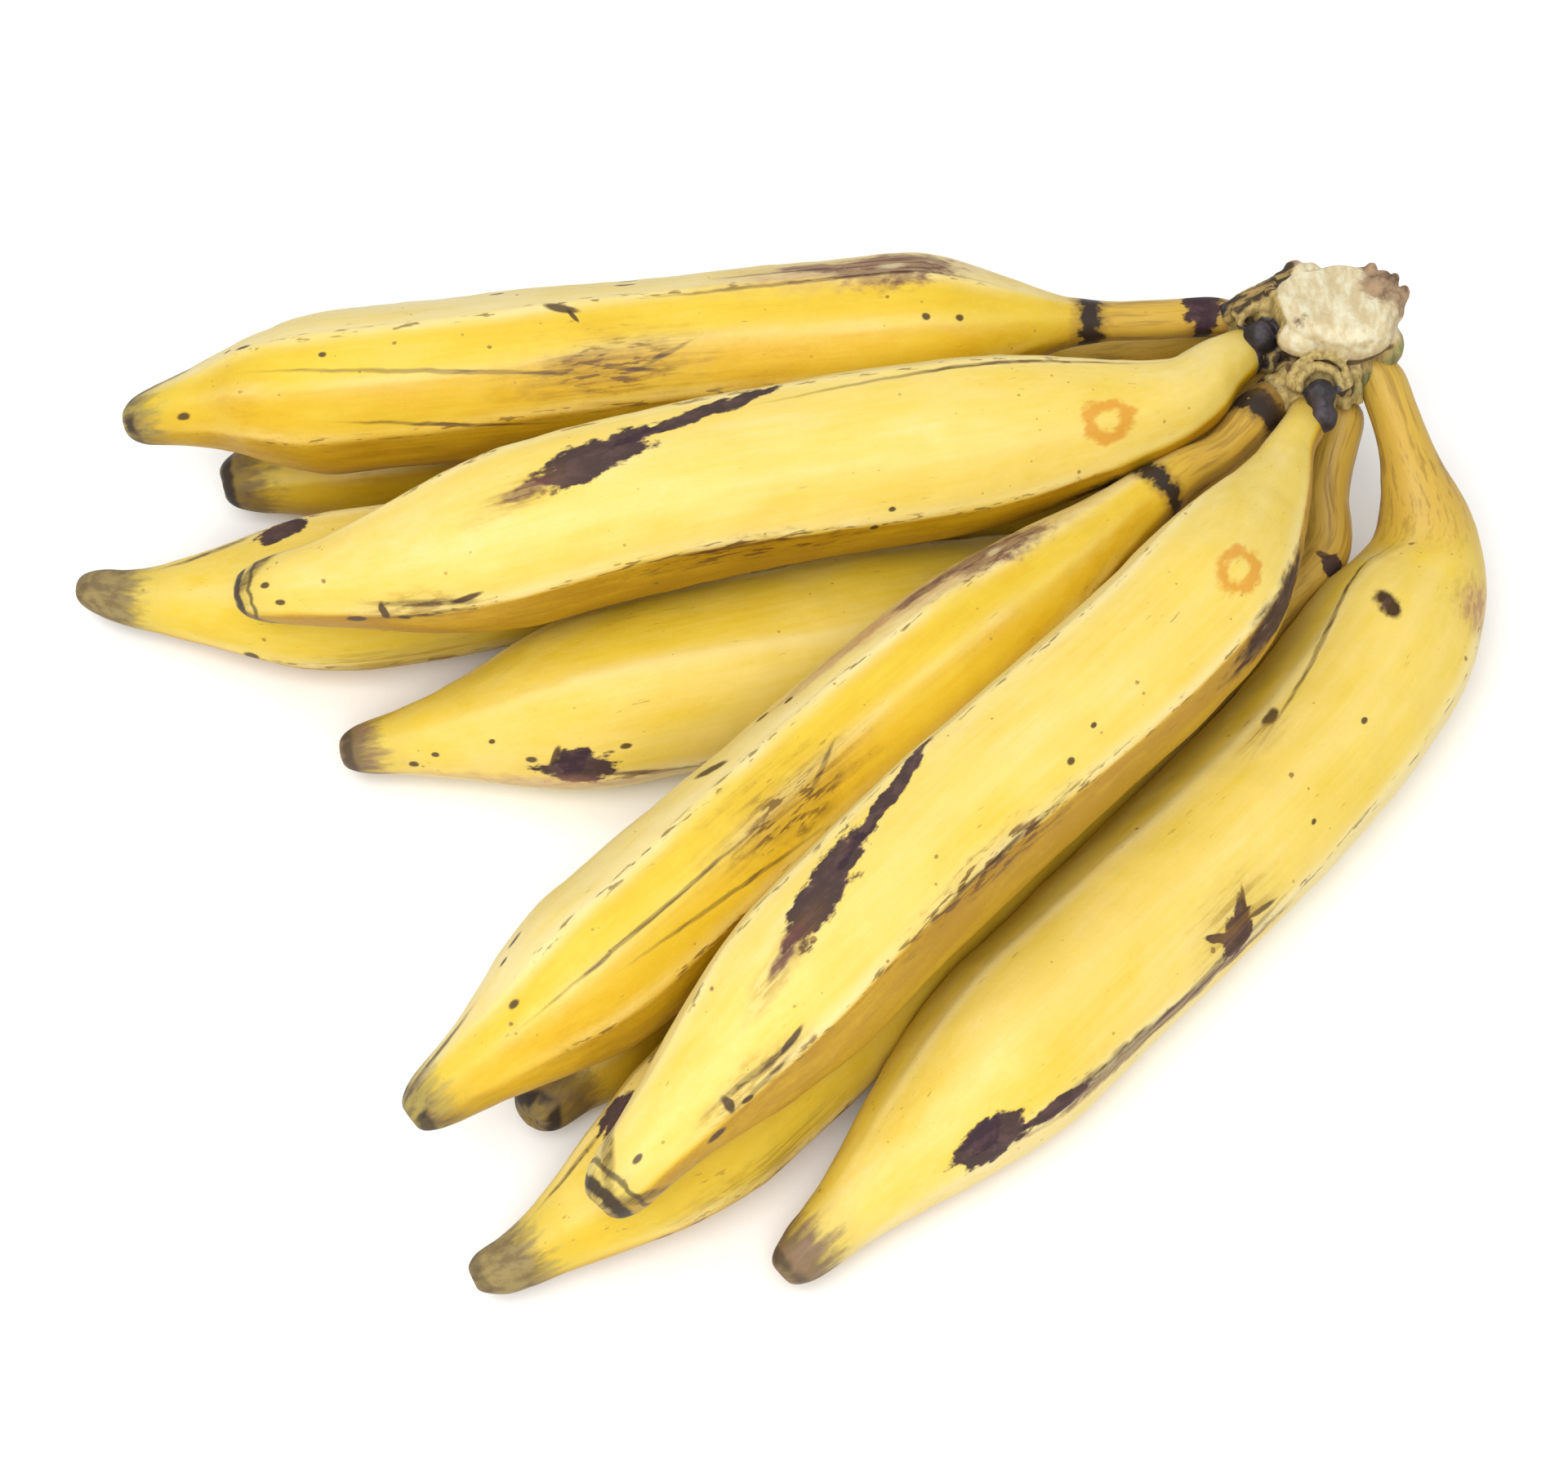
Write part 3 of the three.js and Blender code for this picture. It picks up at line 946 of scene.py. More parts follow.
    def _refine(self, piece: bpy.types.Object) -> None:
        """Smooth the skin, sharpen its ridges and give it the unevenness of a grown thing.

        Args:
            piece: The finger, laid along its course.
        """
        apply_modifier(piece, "SUBSURF", levels=2, render_levels=2)
        mesh = piece.data
        peel = np.empty(len(mesh.vertices) * 3, np.float32)
        mesh.attributes["peel"].data.foreach_get("vector", peel)
        peel = peel.reshape(-1, 3).astype(float)
        along = peel[:, 0]
        angle = np.degrees(np.arctan2(peel[:, 2], peel[:, 1]) - self._wander(along)) + self.FACING
        radius = self.radius(along)
        gaps = [np.abs((angle - ridge.angle + 180) % 360 - 180) for ridge in self.size.ridges]
        strong = np.array([ridge.height for ridge in self.size.ridges]) / self.STRONG_RIDGE
        distance = np.radians(np.min(gaps, axis=0)) * radius
        crest = np.minimum(strong[np.argmin(gaps, axis=0)], 1.0) * self.fullness(along)
        # The ridge share drives the painted highlight and the dark dotted lines along the crests; the stored
        # tone is partly painted shade.
        store(mesh, "ridge", np.exp(-((distance / self.RIDGE_WIDTH) ** 2)) * crest)
        store(mesh, "tone", self._tones_and_shade(angle, radius))
        store(mesh, "skin", peel * np.stack([np.ones(len(radius)), radius, radius], 1))
        lift = self.RIDGE_HEIGHT * np.exp(-((distance / (self.RIDGE_WIDTH / 2)) ** 2)) * crest
        write_vertices(mesh, read_vertices(mesh) + read_vertices(mesh, "normal") * (lift * MM)[:, None])
        for size, strength in self.LUMPS:
            texture = cloud_texture(f"{self.node}_lumps_{size:.0f}", size)
            apply_modifier(piece, "DISPLACE", texture=texture, strength=strength * MM, mid_level=0.5)
        places = read_vertices(mesh)
        places[:, 2] = np.maximum(places[:, 2], 0.0)
        write_vertices(mesh, places)

    def model(self, others: list["Finger"]) -> bpy.types.Object:
        """Model the finger.

        Args:
            others: The other fingers, which press against this one.

        Returns:
            The finished piece.
        """
        ring_along, _ = self._rings()
        piece = self._tube(len(ring_along), len(self._side_angles()))
        self._bend(piece, others)
        self._refine(piece)
        activate(piece)
        bpy.ops.object.shade_smooth()
        return piece


class PeelFinish:
    """The peel's material: ripe yellow faces with painted shade on the lower ones, a painted highlight along
    the ridges, an olive stalk, a dry tip and the marks.
    """

    TURN = (0.5, 0.7, 0.3)
    FINE_MARK = 3.0

    def __init__(self, finger: Finger) -> None:
        """Start the material of one finger.

        Args:
            finger: The finger that wears the peel.
        """
        self.finger = finger
        self.colours = PeelColours()
        self.shader = Shader(f"{finger.node}_peel")
        sh, seed = self.shader, finger.seed
        offset = (seed * 31.7, seed * 17.3, seed * 5.9)
        peel = sh.attribute("peel", "Vector")
        split = sh.node("ShaderNodeSeparateXYZ", None, {0: peel})
        self.along, self.cos, self.sin = (Socket(sh, split.output.node.outputs[i]) for i in range(3))
        belly = finger.size.belly
        self.flat = sh.combine(self.along, sh.math("ARCTAN2", self.sin, self.cos) * belly, 0.0)
        self.round = sh.stretch(sh.attribute("skin", "Vector"), (1.0, 1.0, 1.0), offset)
        self.fine = self._pattern((1.3, 1.3, 1.3), 2.0)
        self.patch = self._pattern((34.0, 13.0, 13.0), 2.0)
        self.streak = self._pattern((26.0, 1.7, 1.7), 3.0)
        self.cloud = self._pattern((5.0, 3.2, 3.2), 3.0)
        self.dash = self._pattern((7.0, 1.3, 1.3), 2.0)
        self.fray = (self.cloud - 0.5) * 1.7 + (self.streak - 0.5) * 0.7
        self.from_end = finger.length - self.along

    def _pattern(self, size: Point, detail: float) -> Socket:
        """Add a noise pattern with clouds of a size in millimetres along and about the finger."""
        sh = self.shader
        scale = (1 / size[0], 1 / size[1], 1 / size[2])
        return sh.noise(sh.stretch(self.round, scale, turn=self.TURN), detail, 0.6)

    def _ground(self) -> Socket:
        """Mix the ripe ground from each face's tone, which is partly painted shade, with a painted highlight
        and dark dotted lines along the ridges, and dark scuffs.
        """
        sh, c = self.shader, self.colours
        drift = (self.patch - 0.5) * 0.45 + (self.streak - 0.5) * 0.22 + (self.fine - 0.5) * 0.1
        # The stored tone paints shade as well as colour: lower and front faces come out deeper gold.
        tone = sh.attribute("tone", "Fac") + drift
        codes = (c.cream, c.butter, c.yellow, c.gold, c.deep)
        stops = tuple((i / 4, srgb(code)) for i, code in enumerate(codes))
        ground = sh.node("ShaderNodeValToRGB", {"stops": stops}, {"Fac": tone})
        ridge = sh.attribute("ridge", "Fac")
        # Painted highlight: cream along the ridge crests, weaker on the deeper, shaded faces.
        ridge_highlight = ridge * (sh.ramp(self.patch, 0.35, 0.6) * 0.6 + 0.25) * sh.ramp(tone, 0.95, 0.45)
        ground = sh.mix(ridge_highlight, ground, srgb(c.cream))
        dotted = sh.ramp(ridge, 0.6, 0.9) * sh.ramp(self.dash, 0.56, 0.64)
        ground = sh.mix(dotted * 0.7, ground, srgb("5E421E"))
        scuffs = sh.ramp(self.dash, 0.67, 0.74) * sh.ramp(self.patch, 0.48, 0.62)
        return sh.mix(scuffs * 0.5, ground, srgb("7E6028"))

    def _stalk(self, ground: Socket) -> Socket:
        """Turn the stalk olive, with brown streaks and dark knots."""
        sh, c, size = self.shader, self.colours, self.finger.size
        reach = self.along + (self.streak - 0.5) * 22.0
        ground = sh.mix(sh.ramp(reach, size.olive + 16, size.olive - 12) * 0.9, ground, srgb(c.olive))
        brown = sh.ramp(self.streak, 0.48, 0.66) * sh.ramp(self.along, size.olive + 14, size.olive - 12)
        ground = sh.mix(brown * 0.45, ground, srgb(c.brown))
        for joint in size.joints:
            gap = sh.math("ABSOLUTE", self.along - joint.along + (self.cloud - 0.5) * 8.0)
            ground = sh.mix(sh.ramp(gap, joint.reach + 4.0, joint.reach) * 0.55, ground, srgb(c.brown))
            ground = sh.mix(sh.ramp(gap, joint.reach + 1.2, joint.reach - 0.6) * 0.96, ground, srgb(c.char))
        start = sh.ramp(self.along + (self.cloud - 0.5) * 8.0, 4.0, -3.0)
        return sh.mix(start * 0.7, ground, srgb(c.brown))

    def _tip(self, ground: Socket) -> tuple[Socket, Socket]:
        """Dry out the blunt tip, with streaks that run back from it and a dark rim at its end.

        Args:
            ground: The peel's colour so far.

        Returns:
            The new colour and how dry the peel is, from 0 to 1.
        """
        sh, c, size = self.shader, self.colours, self.finger.size
        reach = self.from_end + (self.streak - 0.5) * 14.0 + (self.cloud - 0.5) * 9.0
        halo = sh.ramp(reach, size.dry + 16, size.dry - 2)
        ground = sh.mix(halo * 0.35, ground, srgb("A8943C"))
        dry = sh.ramp(reach, size.dry + 5, size.dry - 5)
        shade = sh.mix(sh.ramp(self.cloud, 0.36, 0.64), srgb(size.dry_colour), srgb("54443A"))
        ground = sh.mix(dry * 0.85, ground, shade)
        gap = sh.math("ABSOLUTE", self.from_end - 0.2 + (self.patch - 0.5) * 7.0 + (self.cloud - 0.5) * 1.5)
        rim = sh.ramp(gap, 2.4, 0.8) * sh.ramp(self.patch, 0.36, 0.5)
        if size.rim > 1.0:
            second = sh.ramp(sh.math("ABSOLUTE", gap - 4.6), 1.0, 0.3) * 0.8
            rim = sh.math("MAXIMUM", sh.ramp(gap, 1.9, 0.9), second)
        return sh.mix(rim * min(size.rim, 0.92), ground, srgb(c.char)), dry

    def _specks(self, ground: Socket) -> Socket:
        """Scatter small brown specks of different sizes."""
        sh = self.shader
        for cell, limit, colour in ((8.0, 0.12, "6B4A22"), (3.4, 0.14, "A08034")):
            place = sh.scaled(self.round, 1 / cell)
            spread = sh.node("ShaderNodeTexVoronoi", None, {"Vector": place, "Scale": 1.0}, "Distance")
            chance = Socket(sh, spread.output.node.outputs["Color"])
            size = sh.ramp(sh.vector("DOT_PRODUCT", chance, (0.5, 0.5, 0.0), output="Value"), 0.6, 0.95)
            speck = sh.ramp(spread + (self.fine - 0.5) * 0.12 - size * limit, 0.03, -0.03)
            ground = sh.mix(speck * 0.75, ground, srgb(colour))
        return ground

    def _mark(self, mark: Mark) -> Socket:
        """Draw one mark.

        Args:
            mark: The mark, measured on the skin.

        Returns:
            How much of the mark covers the peel, from 0 to 1.
        """
        sh, look = self.shader, MARK_LOOKS[mark.kind]
        size = self.finger.size
        spread = size.belly / float(self.finger.radius(np.array(mark.along)))
        lean = math.radians(mark.turn)
        long = Vector((math.cos(lean), math.sin(lean) * spread)) * mark.length / 2
        wide = Vector((-math.sin(lean), math.cos(lean) * spread)) * mark.width / 2
        facing = math.radians((mark.angle - self.finger.FACING + 180) % 360 - 180)
        place = sh.node(
            "ShaderNodeMapping",
            {"vector_type": "TEXTURE"},
            {
                "Vector": self.steady if mark.width < self.FINE_MARK else self.drifting,
                "Location": (mark.along, facing * size.belly, 0.0),
                "Rotation": (0.0, 0.0, math.atan2(long.y, long.x)),
                "Scale": (long.length, wide.length, 1.0),
            },
        )
        distance = sh.vector("LENGTH", place, output="Value")
        if look.hollow:
            distance = sh.math("ABSOLUTE", distance - 0.75) * 3.8
        distance = sh.math("MULTIPLY_ADD", self.fray, look.fray * min(1.0, 0.35 + mark.width / 12), distance)
        cover = sh.ramp(distance, 1 + look.soft, 1 - look.soft)
        if look.streaky:
            cover = cover * (1 - look.streaky * sh.ramp(self.streak, 0.6, 0.45))
        if look.veined:
            cover = cover * (sh.ramp(self.dash, 0.5, 0.6) * 0.8 + 0.2)
        return cover * look.strength

    def make(self) -> bpy.types.Material:
        """Make the whole peel.

        Returns:
            The material.
        """
        sh = self.shader
        drift = sh.noise(sh.stretch(self.round, (0.14, 0.14, 0.14), turn=self.TURN), 2.0, 0.5, "Color")
        shift = sh.vector("SUBTRACT", drift, (0.5, 0.5, 0.5))
        self.drifting = sh.vector("ADD", self.flat, sh.vector("MULTIPLY", shift, (4.0, 4.0, 0.0)))
        self.steady = sh.vector("ADD", self.flat, sh.vector("MULTIPLY", shift, (1.2, 1.2, 0.0)))
        colour = self._specks(self._stalk(self._ground()))
        colour, dry = self._tip(colour)
        scars = dry * 0.6
        inner = sh.ramp(self.cloud, 0.44, 0.68) * 0.4
        for mark in self.finger.size.marks:
            cover = self._mark(mark)
            shade = srgb(MARK_LOOKS[mark.kind].colour)
            if mark.kind in (M.BRUISE, M.BLOTCH, M.GASH):
                scars = sh.math("MAXIMUM", scars, cover)
                shade = sh.mix(inner, shade, srgb("5E4246"))
            colour = sh.mix(cover, colour, shade)
        height = self.fine * 0.2 + self.streak * 0.35 + self.cloud * 0.45 - scars * 0.4
        rough = 0.43 + self.fine * 0.12 + scars * 0.22
        sockets = {"Base Color": colour, "Roughness": rough, "Coat Weight": 0.06 - scars * 0.06}
        sockets |= {"Coat Roughness": 0.35, "IOR": 1.4, "Specular IOR Level": 0.36}
        return sh.finish(sockets, height, 0.3, 0.0006)


@dataclass(frozen=True)
class CrownSection:
    """One level section of the crown: its height, middle and half sizes in millimetres."""

    z: float
    x: float
    y: float
    w: float
    d: float


class Tone(Enum):
    """What a region of the crown looks like."""

    CHAR = "char"
    BROWN = "brown"
    BARK = "bark"
    OLIVE = "olive"


@dataclass(frozen=True)
class Region:
    """A region of the crown's surface that has one tone: its middle and reach in millimetres."""

    tone: Tone
    x: float
    y: float
    z: float
    reach: float


@dataclass(frozen=True)
class Lump:
    """A lump of the crown: its middle and half sizes in millimetres."""

    x: float
    y: float
    z: float
    w: float
    d: float
    h: float


@dataclass(frozen=True)
class Hood:
    """The collar over a blackened pedicel: its middle, which way it faces, its radius and its wall."""

    middle: Point
    facing: Point
    radius: float
    wall: float


@dataclass(frozen=True)
class Strand:
    """A torn strand between two points, with its radius at each end, in millimetres."""

    start: Point
    end: Point
    thick: float
    thin: float


@dataclass
class Crown:
    """The woody crown: a cut block with torn edges, hoods over its knobs and a collar round each stalk."""

    node: str = "crown"
    sides: int = 48
    sections: tuple[CrownSection, ...] = (
        CrownSection(38, 148, 107, 8, 6), CrownSection(46, 148, 108, 12, 8.5),
        CrownSection(54, 147.5, 109, 13, 9.5), CrownSection(61, 148.5, 109, 14, 10.5),
        CrownSection(67, 150, 109.6, 14.6, 11.4), CrownSection(69.4, 151.6, 110, 16.4, 13.2),
        CrownSection(74, 152, 110, 17.6, 14.0), CrownSection(79, 152, 110.0, 17.2, 12.9),
        CrownSection(81.5, 152, 110.2, 15.0, 10.8),
    )
    bumps: tuple[tuple[int, float, float], ...] = ((3, 0.05, 40.0), (5, 0.04, 10.0), (8, 0.02, 5.0))
    lumps: tuple[Lump, ...] = (
        Lump(131.3, 106.0, 69.2, 4.8, 4.4, 5.0), Lump(129.6, 102.2, 63.6, 3.0, 3.2, 4.6),
        Lump(146.0, 86.2, 69.3, 4.2, 3.8, 4.6), Lump(146.8, 81.4, 65.6, 3.8, 3.6, 4.8),
        Lump(139.5, 97, 62, 5.0, 5.0, 8.0), Lump(146.8, 97.4, 65.0, 7.5, 5.0, 6.0),
        Lump(155.5, 99.5, 63.0, 5.5, 5.0, 7.0), Lump(136.5, 113.5, 68.5, 6.5, 5.0, 6.0),
        Lump(140.6, 120.4, 79.6, 3.2, 3.0, 2.8), Lump(144.5, 121.0, 79.4, 3.0, 2.4, 2.0),
        Lump(162.5, 113.5, 79.5, 4.6, 4.2, 4.4), Lump(166, 110.5, 77.5, 3.4, 3.6, 4.6),
        Lump(159, 119, 79.0, 3.6, 3.0, 2.6), Lump(163.5, 117.5, 80.5, 2.4, 2.0, 2.6),
        Lump(165.0, 106, 66, 5.0, 5.4, 8.0), Lump(136, 116.5, 72, 6.0, 5.0, 6.0),
        Lump(128.5, 117.5, 65.5, 5.6, 5.0, 5.0), Lump(141.5, 104.5, 77.5, 2.6, 2.2, 2.6),
        Lump(141.6, 102.2, 73.4, 6.6, 5.6, 4.6), Lump(166.5, 116, 81.0, 1.7, 1.5, 3.0),
        Lump(169, 112.5, 79.4, 1.7, 1.7, 3.2), Lump(160.8, 120.5, 80.0, 1.8, 1.5, 2.8),
    )
    hoods: tuple[Hood, ...] = (
        Hood((145.9, 88.8, 69.3), (0.0, -0.64, 0.77), 5.6, 1.3),
        Hood((146.2, 90.4, 68.6), (0.0, -0.64, 0.77), 7.8, 1.2),
        Hood((131.8, 108.4, 70.2), (-0.25, -0.6, 0.76), 6.4, 1.4),
        Hood((132.8, 110.6, 70.2), (-0.25, -0.6, 0.76), 8.8, 1.3),
    )
    strands: tuple[Strand, ...] = (
        Strand((140, 119.5, 78.5), (122.5, 118.5, 65), 2.9, 2.4),
        Strand((136, 117.5, 78), (122.5, 115.5, 65.5), 2.2, 1.8),
        Strand((137, 114.0, 78), (126.5, 113.5, 69.5), 1.8, 1.5),
        Strand((141, 108, 79), (133, 116, 77.5), 2.2, 1.6),
        Strand((138.6, 95.5, 70), (137, 93.5, 58), 1.5, 1.7),
        Strand((141.2, 94.0, 69), (140, 91.5, 58), 1.3, 1.5),
        Strand((153.2, 94.5, 69), (154, 91, 58), 1.5, 1.8),
        Strand((156.5, 95.5, 69), (157.5, 93, 58), 1.4, 1.6),
    )
    regions: tuple[Region, ...] = (
        Region(Tone.CHAR, 131.3, 105.4, 70, 6.4), Region(Tone.CHAR, 129.4, 101.4, 63.5, 5.4),
        Region(Tone.CHAR, 146.0, 85.4, 70, 6.0), Region(Tone.CHAR, 146.9, 80.6, 65.6, 6.4),
        Region(Tone.CHAR, 121, 119, 64, 5.0), Region(Tone.CHAR, 133, 92, 60, 6.5),
        Region(Tone.BARK, 136, 120.5, 79, 5.0), Region(Tone.BARK, 130.5, 120.5, 74, 6.4),
        Region(Tone.BARK, 124, 119.5, 68, 6.4), Region(Tone.BARK, 133.5, 117, 78, 3.4),
        Region(Tone.BARK, 127, 115.5, 72, 3.6), Region(Tone.BARK, 128, 111.5, 67.0, 3.4),
        # The two dark fibrous regions in the recess between the knobs are partly its dark fibres and partly
        # painted shade in that recess.
        Region(Tone.BARK, 137.5, 99.5, 66, 5.0), Region(Tone.BARK, 137.0, 93.8, 61, 5.0),
        Region(Tone.BARK, 153.6, 92.5, 64, 2.6), Region(Tone.BARK, 138.8, 103.0, 70, 3.6),
        Region(Tone.BROWN, 138, 123.5, 82, 4.4), Region(Tone.BROWN, 164, 114, 81.5, 6.6),
        Region(Tone.BROWN, 169, 111.5, 79, 5.6), Region(Tone.BROWN, 161, 121, 81, 4.0),
        # The olive region on the right flank is painted shade, where the flank turns away from the lamps.
        Region(Tone.BROWN, 141.5, 103, 79, 3.0), Region(Tone.OLIVE, 168, 105, 66, 6.0),
        Region(Tone.OLIVE, 158.5, 96, 62, 4.0),
    )
    voxel: float = 0.55
    fibres: tuple[tuple[float, float], ...] = ((8.0, 1.3), (2.6, 0.5))
    collar_wall: float = 0.6
    groove_steps: int = 9
    side_from: float = 67.5
    cut_from: float = 69.5
    # The painted shadow line under the block's overhanging front edge: its height, its width and its front
    # and rear bounds.
    lip_shadow_height: float = 71.0
    lip_shadow_width: float = 1.3
    lip_front: float = 91.0
    lip_rear: float = 104.0

    def _outline(self, angle: np.ndarray) -> np.ndarray:
        """Give the crown's outline at an angle as a share of its half sizes."""
        waves = [size * np.cos(count * (angle - math.radians(turn))) for count, size, turn in self.bumps]
        return 1 + sum(waves)

    def _block(self) -> bpy.types.Object:
        """Model the block itself, from its underside to the cut face."""
        deselect_all()
        bpy.ops.mesh.primitive_cylinder_add(vertices=self.sides, radius=1, depth=2, end_fill_type="TRIFAN")
        block = bpy.context.object
        cut_rings(block, 2, len(self.sections))
        flat = read_vertices(block.data)
        level = np.rint((flat[:, 2] + 1) / 2 * (len(self.sections) - 1)).astype(int)
        table = np.array([[s.x, s.y, s.z, s.w, s.d] for s in self.sections])[level]
        angle = np.arctan2(flat[:, 1], flat[:, 0])
        share = np.hypot(flat[:, 0], flat[:, 1]) * self._outline(angle)
        x = table[:, 0] + np.cos(angle) * share * table[:, 3]
        y = table[:, 1] + np.sin(angle) * share * table[:, 4]
        write_vertices(block.data, np.stack([x, y, table[:, 2]], 1) * MM)
        return block

    def _strand(self, strand: Strand) -> bpy.types.Object:
        """Model one strand as a tapered rod between its ends."""
        start, end = Vector(strand.start), Vector(strand.end)
        deselect_all()
        bpy.ops.mesh.primitive_cone_add(
            vertices=24,
            radius1=strand.thick * MM,
            radius2=strand.thin * MM,
            depth=(end - start).length * MM,
            location=(start + end) / 2 * MM,
            rotation=(end - start).to_track_quat("Z", "Y").to_euler(),
        )
        return bpy.context.object

    def _collar(self, finger: Finger) -> bpy.types.Object:
        """Model the collar that a stalk grows out of.

        Args:
            finger: The finger whose stalk it holds.

        Returns:
            The collar.
        """
        reach = finger.root_length
        middle, _, _ = finger.frames(np.array([-reach * 0.95, -reach * 0.25]))
        stalk = finger.size.stalk
        return self._strand(Strand(tuple(middle[0]), tuple(middle[1]), stalk + self.collar_wall, stalk + 0.2))

    def _hood(self, hood: Hood) -> bpy.types.Object:
        """Model one hood as an arch: a ring with its lower half pushed up behind the knob."""
        deselect_all()
        bpy.ops.mesh.primitive_torus_add(
            major_radius=hood.radius * MM,
            minor_radius=hood.wall * MM,
            major_segments=48,
            minor_segments=12,
            location=Vector(hood.middle) * MM,
            rotation=Vector(hood.facing).to_track_quat("Z", "Y").to_euler(),
        )
        arch = bpy.context.object
        places = read_vertices(arch.data)
        places[:, 1] = np.where(places[:, 1] < 0, places[:, 1] * 0.3, places[:, 1])
        write_vertices(arch.data, places)
        return arch

    def _lump(self, lump: Lump) -> bpy.types.Object:
        """Model one lump."""
        deselect_all()
        place = Vector((lump.x, lump.y, lump.z)) * MM
        bpy.ops.mesh.primitive_ico_sphere_add(subdivisions=3, radius=MM, location=place)
        bpy.ops.transform.resize(value=(lump.w, lump.d, lump.h))
        return bpy.context.object

    def _largest_shell(self, piece: bpy.types.Object) -> bpy.types.Object:
        """Drop the loose scraps that remeshing leaves, so that one closed shell is kept."""
        activate(piece)
        bpy.ops.mesh.separate(type="LOOSE")
        shells = sorted(bpy.context.selected_objects, key=lambda shell: len(shell.data.vertices))
        for scrap in shells[:-1]:
            bpy.data.objects.remove(scrap)
        return shells[-1]

    def model(self, fingers: list[Finger]) -> bpy.types.Object:
        """Model the crown as one grown piece.

        Args:
            fingers: The fingers, whose stalks set the collars.

        Returns:
            The finished piece.
        """
        pieces = [self._block()]
        pieces.extend(self._collar(finger) for finger in fingers)
        pieces.extend(self._hood(hood) for hood in self.hoods)
        pieces.extend(self._strand(strand) for strand in self.strands)
        pieces.extend(self._lump(lump) for lump in self.lumps)
        deselect_all()
        for piece in pieces:
            piece.select_set(True)
        bpy.context.view_layer.objects.active = pieces[0]
        bpy.ops.object.join()
        crown = bpy.context.object
        activate(crown)
        bpy.ops.object.transform_apply(location=True, rotation=True, scale=True)
        apply_modifier(crown, "REMESH", mode="VOXEL", voxel_size=self.voxel * MM)
        crown = self._largest_shell(crown)
        crown.name = "crown_wood_block"
        apply_modifier(crown, "SMOOTH", factor=0.5, iterations=4)
        for size, strength in self.fibres:
            texture = cloud_texture(f"crown_fibres_{size:.0f}", size)
            apply_modifier(crown, "DISPLACE", texture=texture, strength=strength * MM, mid_level=0.5)
        self._mark_surface(crown.data)
        activate(crown)
        bpy.ops.object.shade_smooth()
        return crown

    def _grooves(self, mesh: bpy.types.Mesh) -> np.ndarray:
        """Measure how deep each place lies in a groove.

        Args:
            mesh: The crown's mesh.

        Returns:
            Depth below the places around it in millimetres, negative on an edge.
        """
        places = read_vertices(mesh) / MM
        ends = np.empty(len(mesh.edges) * 2, np.int32)
        mesh.edges.foreach_get("vertices", ends)
        start, end = ends.reshape(-1, 2).T
        count = np.bincount(ends, minlength=len(places))[:, None]
        mean = places
        for _ in range(self.groove_steps):
            total = np.zeros_like(places)
            np.add.at(total, start, mean[end])
            np.add.at(total, end, mean[start])
            mean = total / count
        return ((mean - places) * read_vertices(mesh, "normal")).sum(1)

    def _mark_surface(self, mesh: bpy.types.Mesh) -> None:
        """Store where the crown is cut, how deep its grooves lie for the painted shade, where the painted
        shadow line runs under the block's overhanging edge, and which tone each region has.

        Args:
            mesh: The crown's mesh.
        """
        places = read_vertices(mesh) / MM
        store(mesh, "groove", self._grooves(mesh))
        block = smoothstep((places[:, 2] - self.side_from) / 3)
        # Painted shadow: a dark band at the front, just under the block's overhanging edge.
        front = smoothstep((self.lip_rear - places[:, 1]) / 4)
        front = front * smoothstep((places[:, 1] - self.lip_front) / 3)
        store(mesh, "lip", front * np.exp(-(((places[:, 2] - self.lip_shadow_height) / self.lip_shadow_width) ** 2)))
        up = smoothstep((read_vertices(mesh, "normal")[:, 2] - 0.1) / 0.6)
        cut = (0.45 + 0.55 * up) * smoothstep((places[:, 2] - self.cut_from) / 4)
        for hood in self.hoods:
            gap = np.linalg.norm(places - np.array(hood.middle), axis=1) - hood.radius
            clear = smoothstep((gap - 0.8) / 2.2)
            cut = cut * (0.15 + 0.85 * clear)
            block = block * clear
        store(mesh, "cut", cut)
        store(mesh, "block", block)
        for tone in Tone:
            value = np.zeros(len(places))
            for region in self.regions:
                if region.tone is tone:
                    distance = np.linalg.norm(places - np.array([region.x, region.y, region.z]), axis=1)
                    value = np.maximum(value, np.exp(-((distance / region.reach) ** 2)))
            store(mesh, tone.value, value)


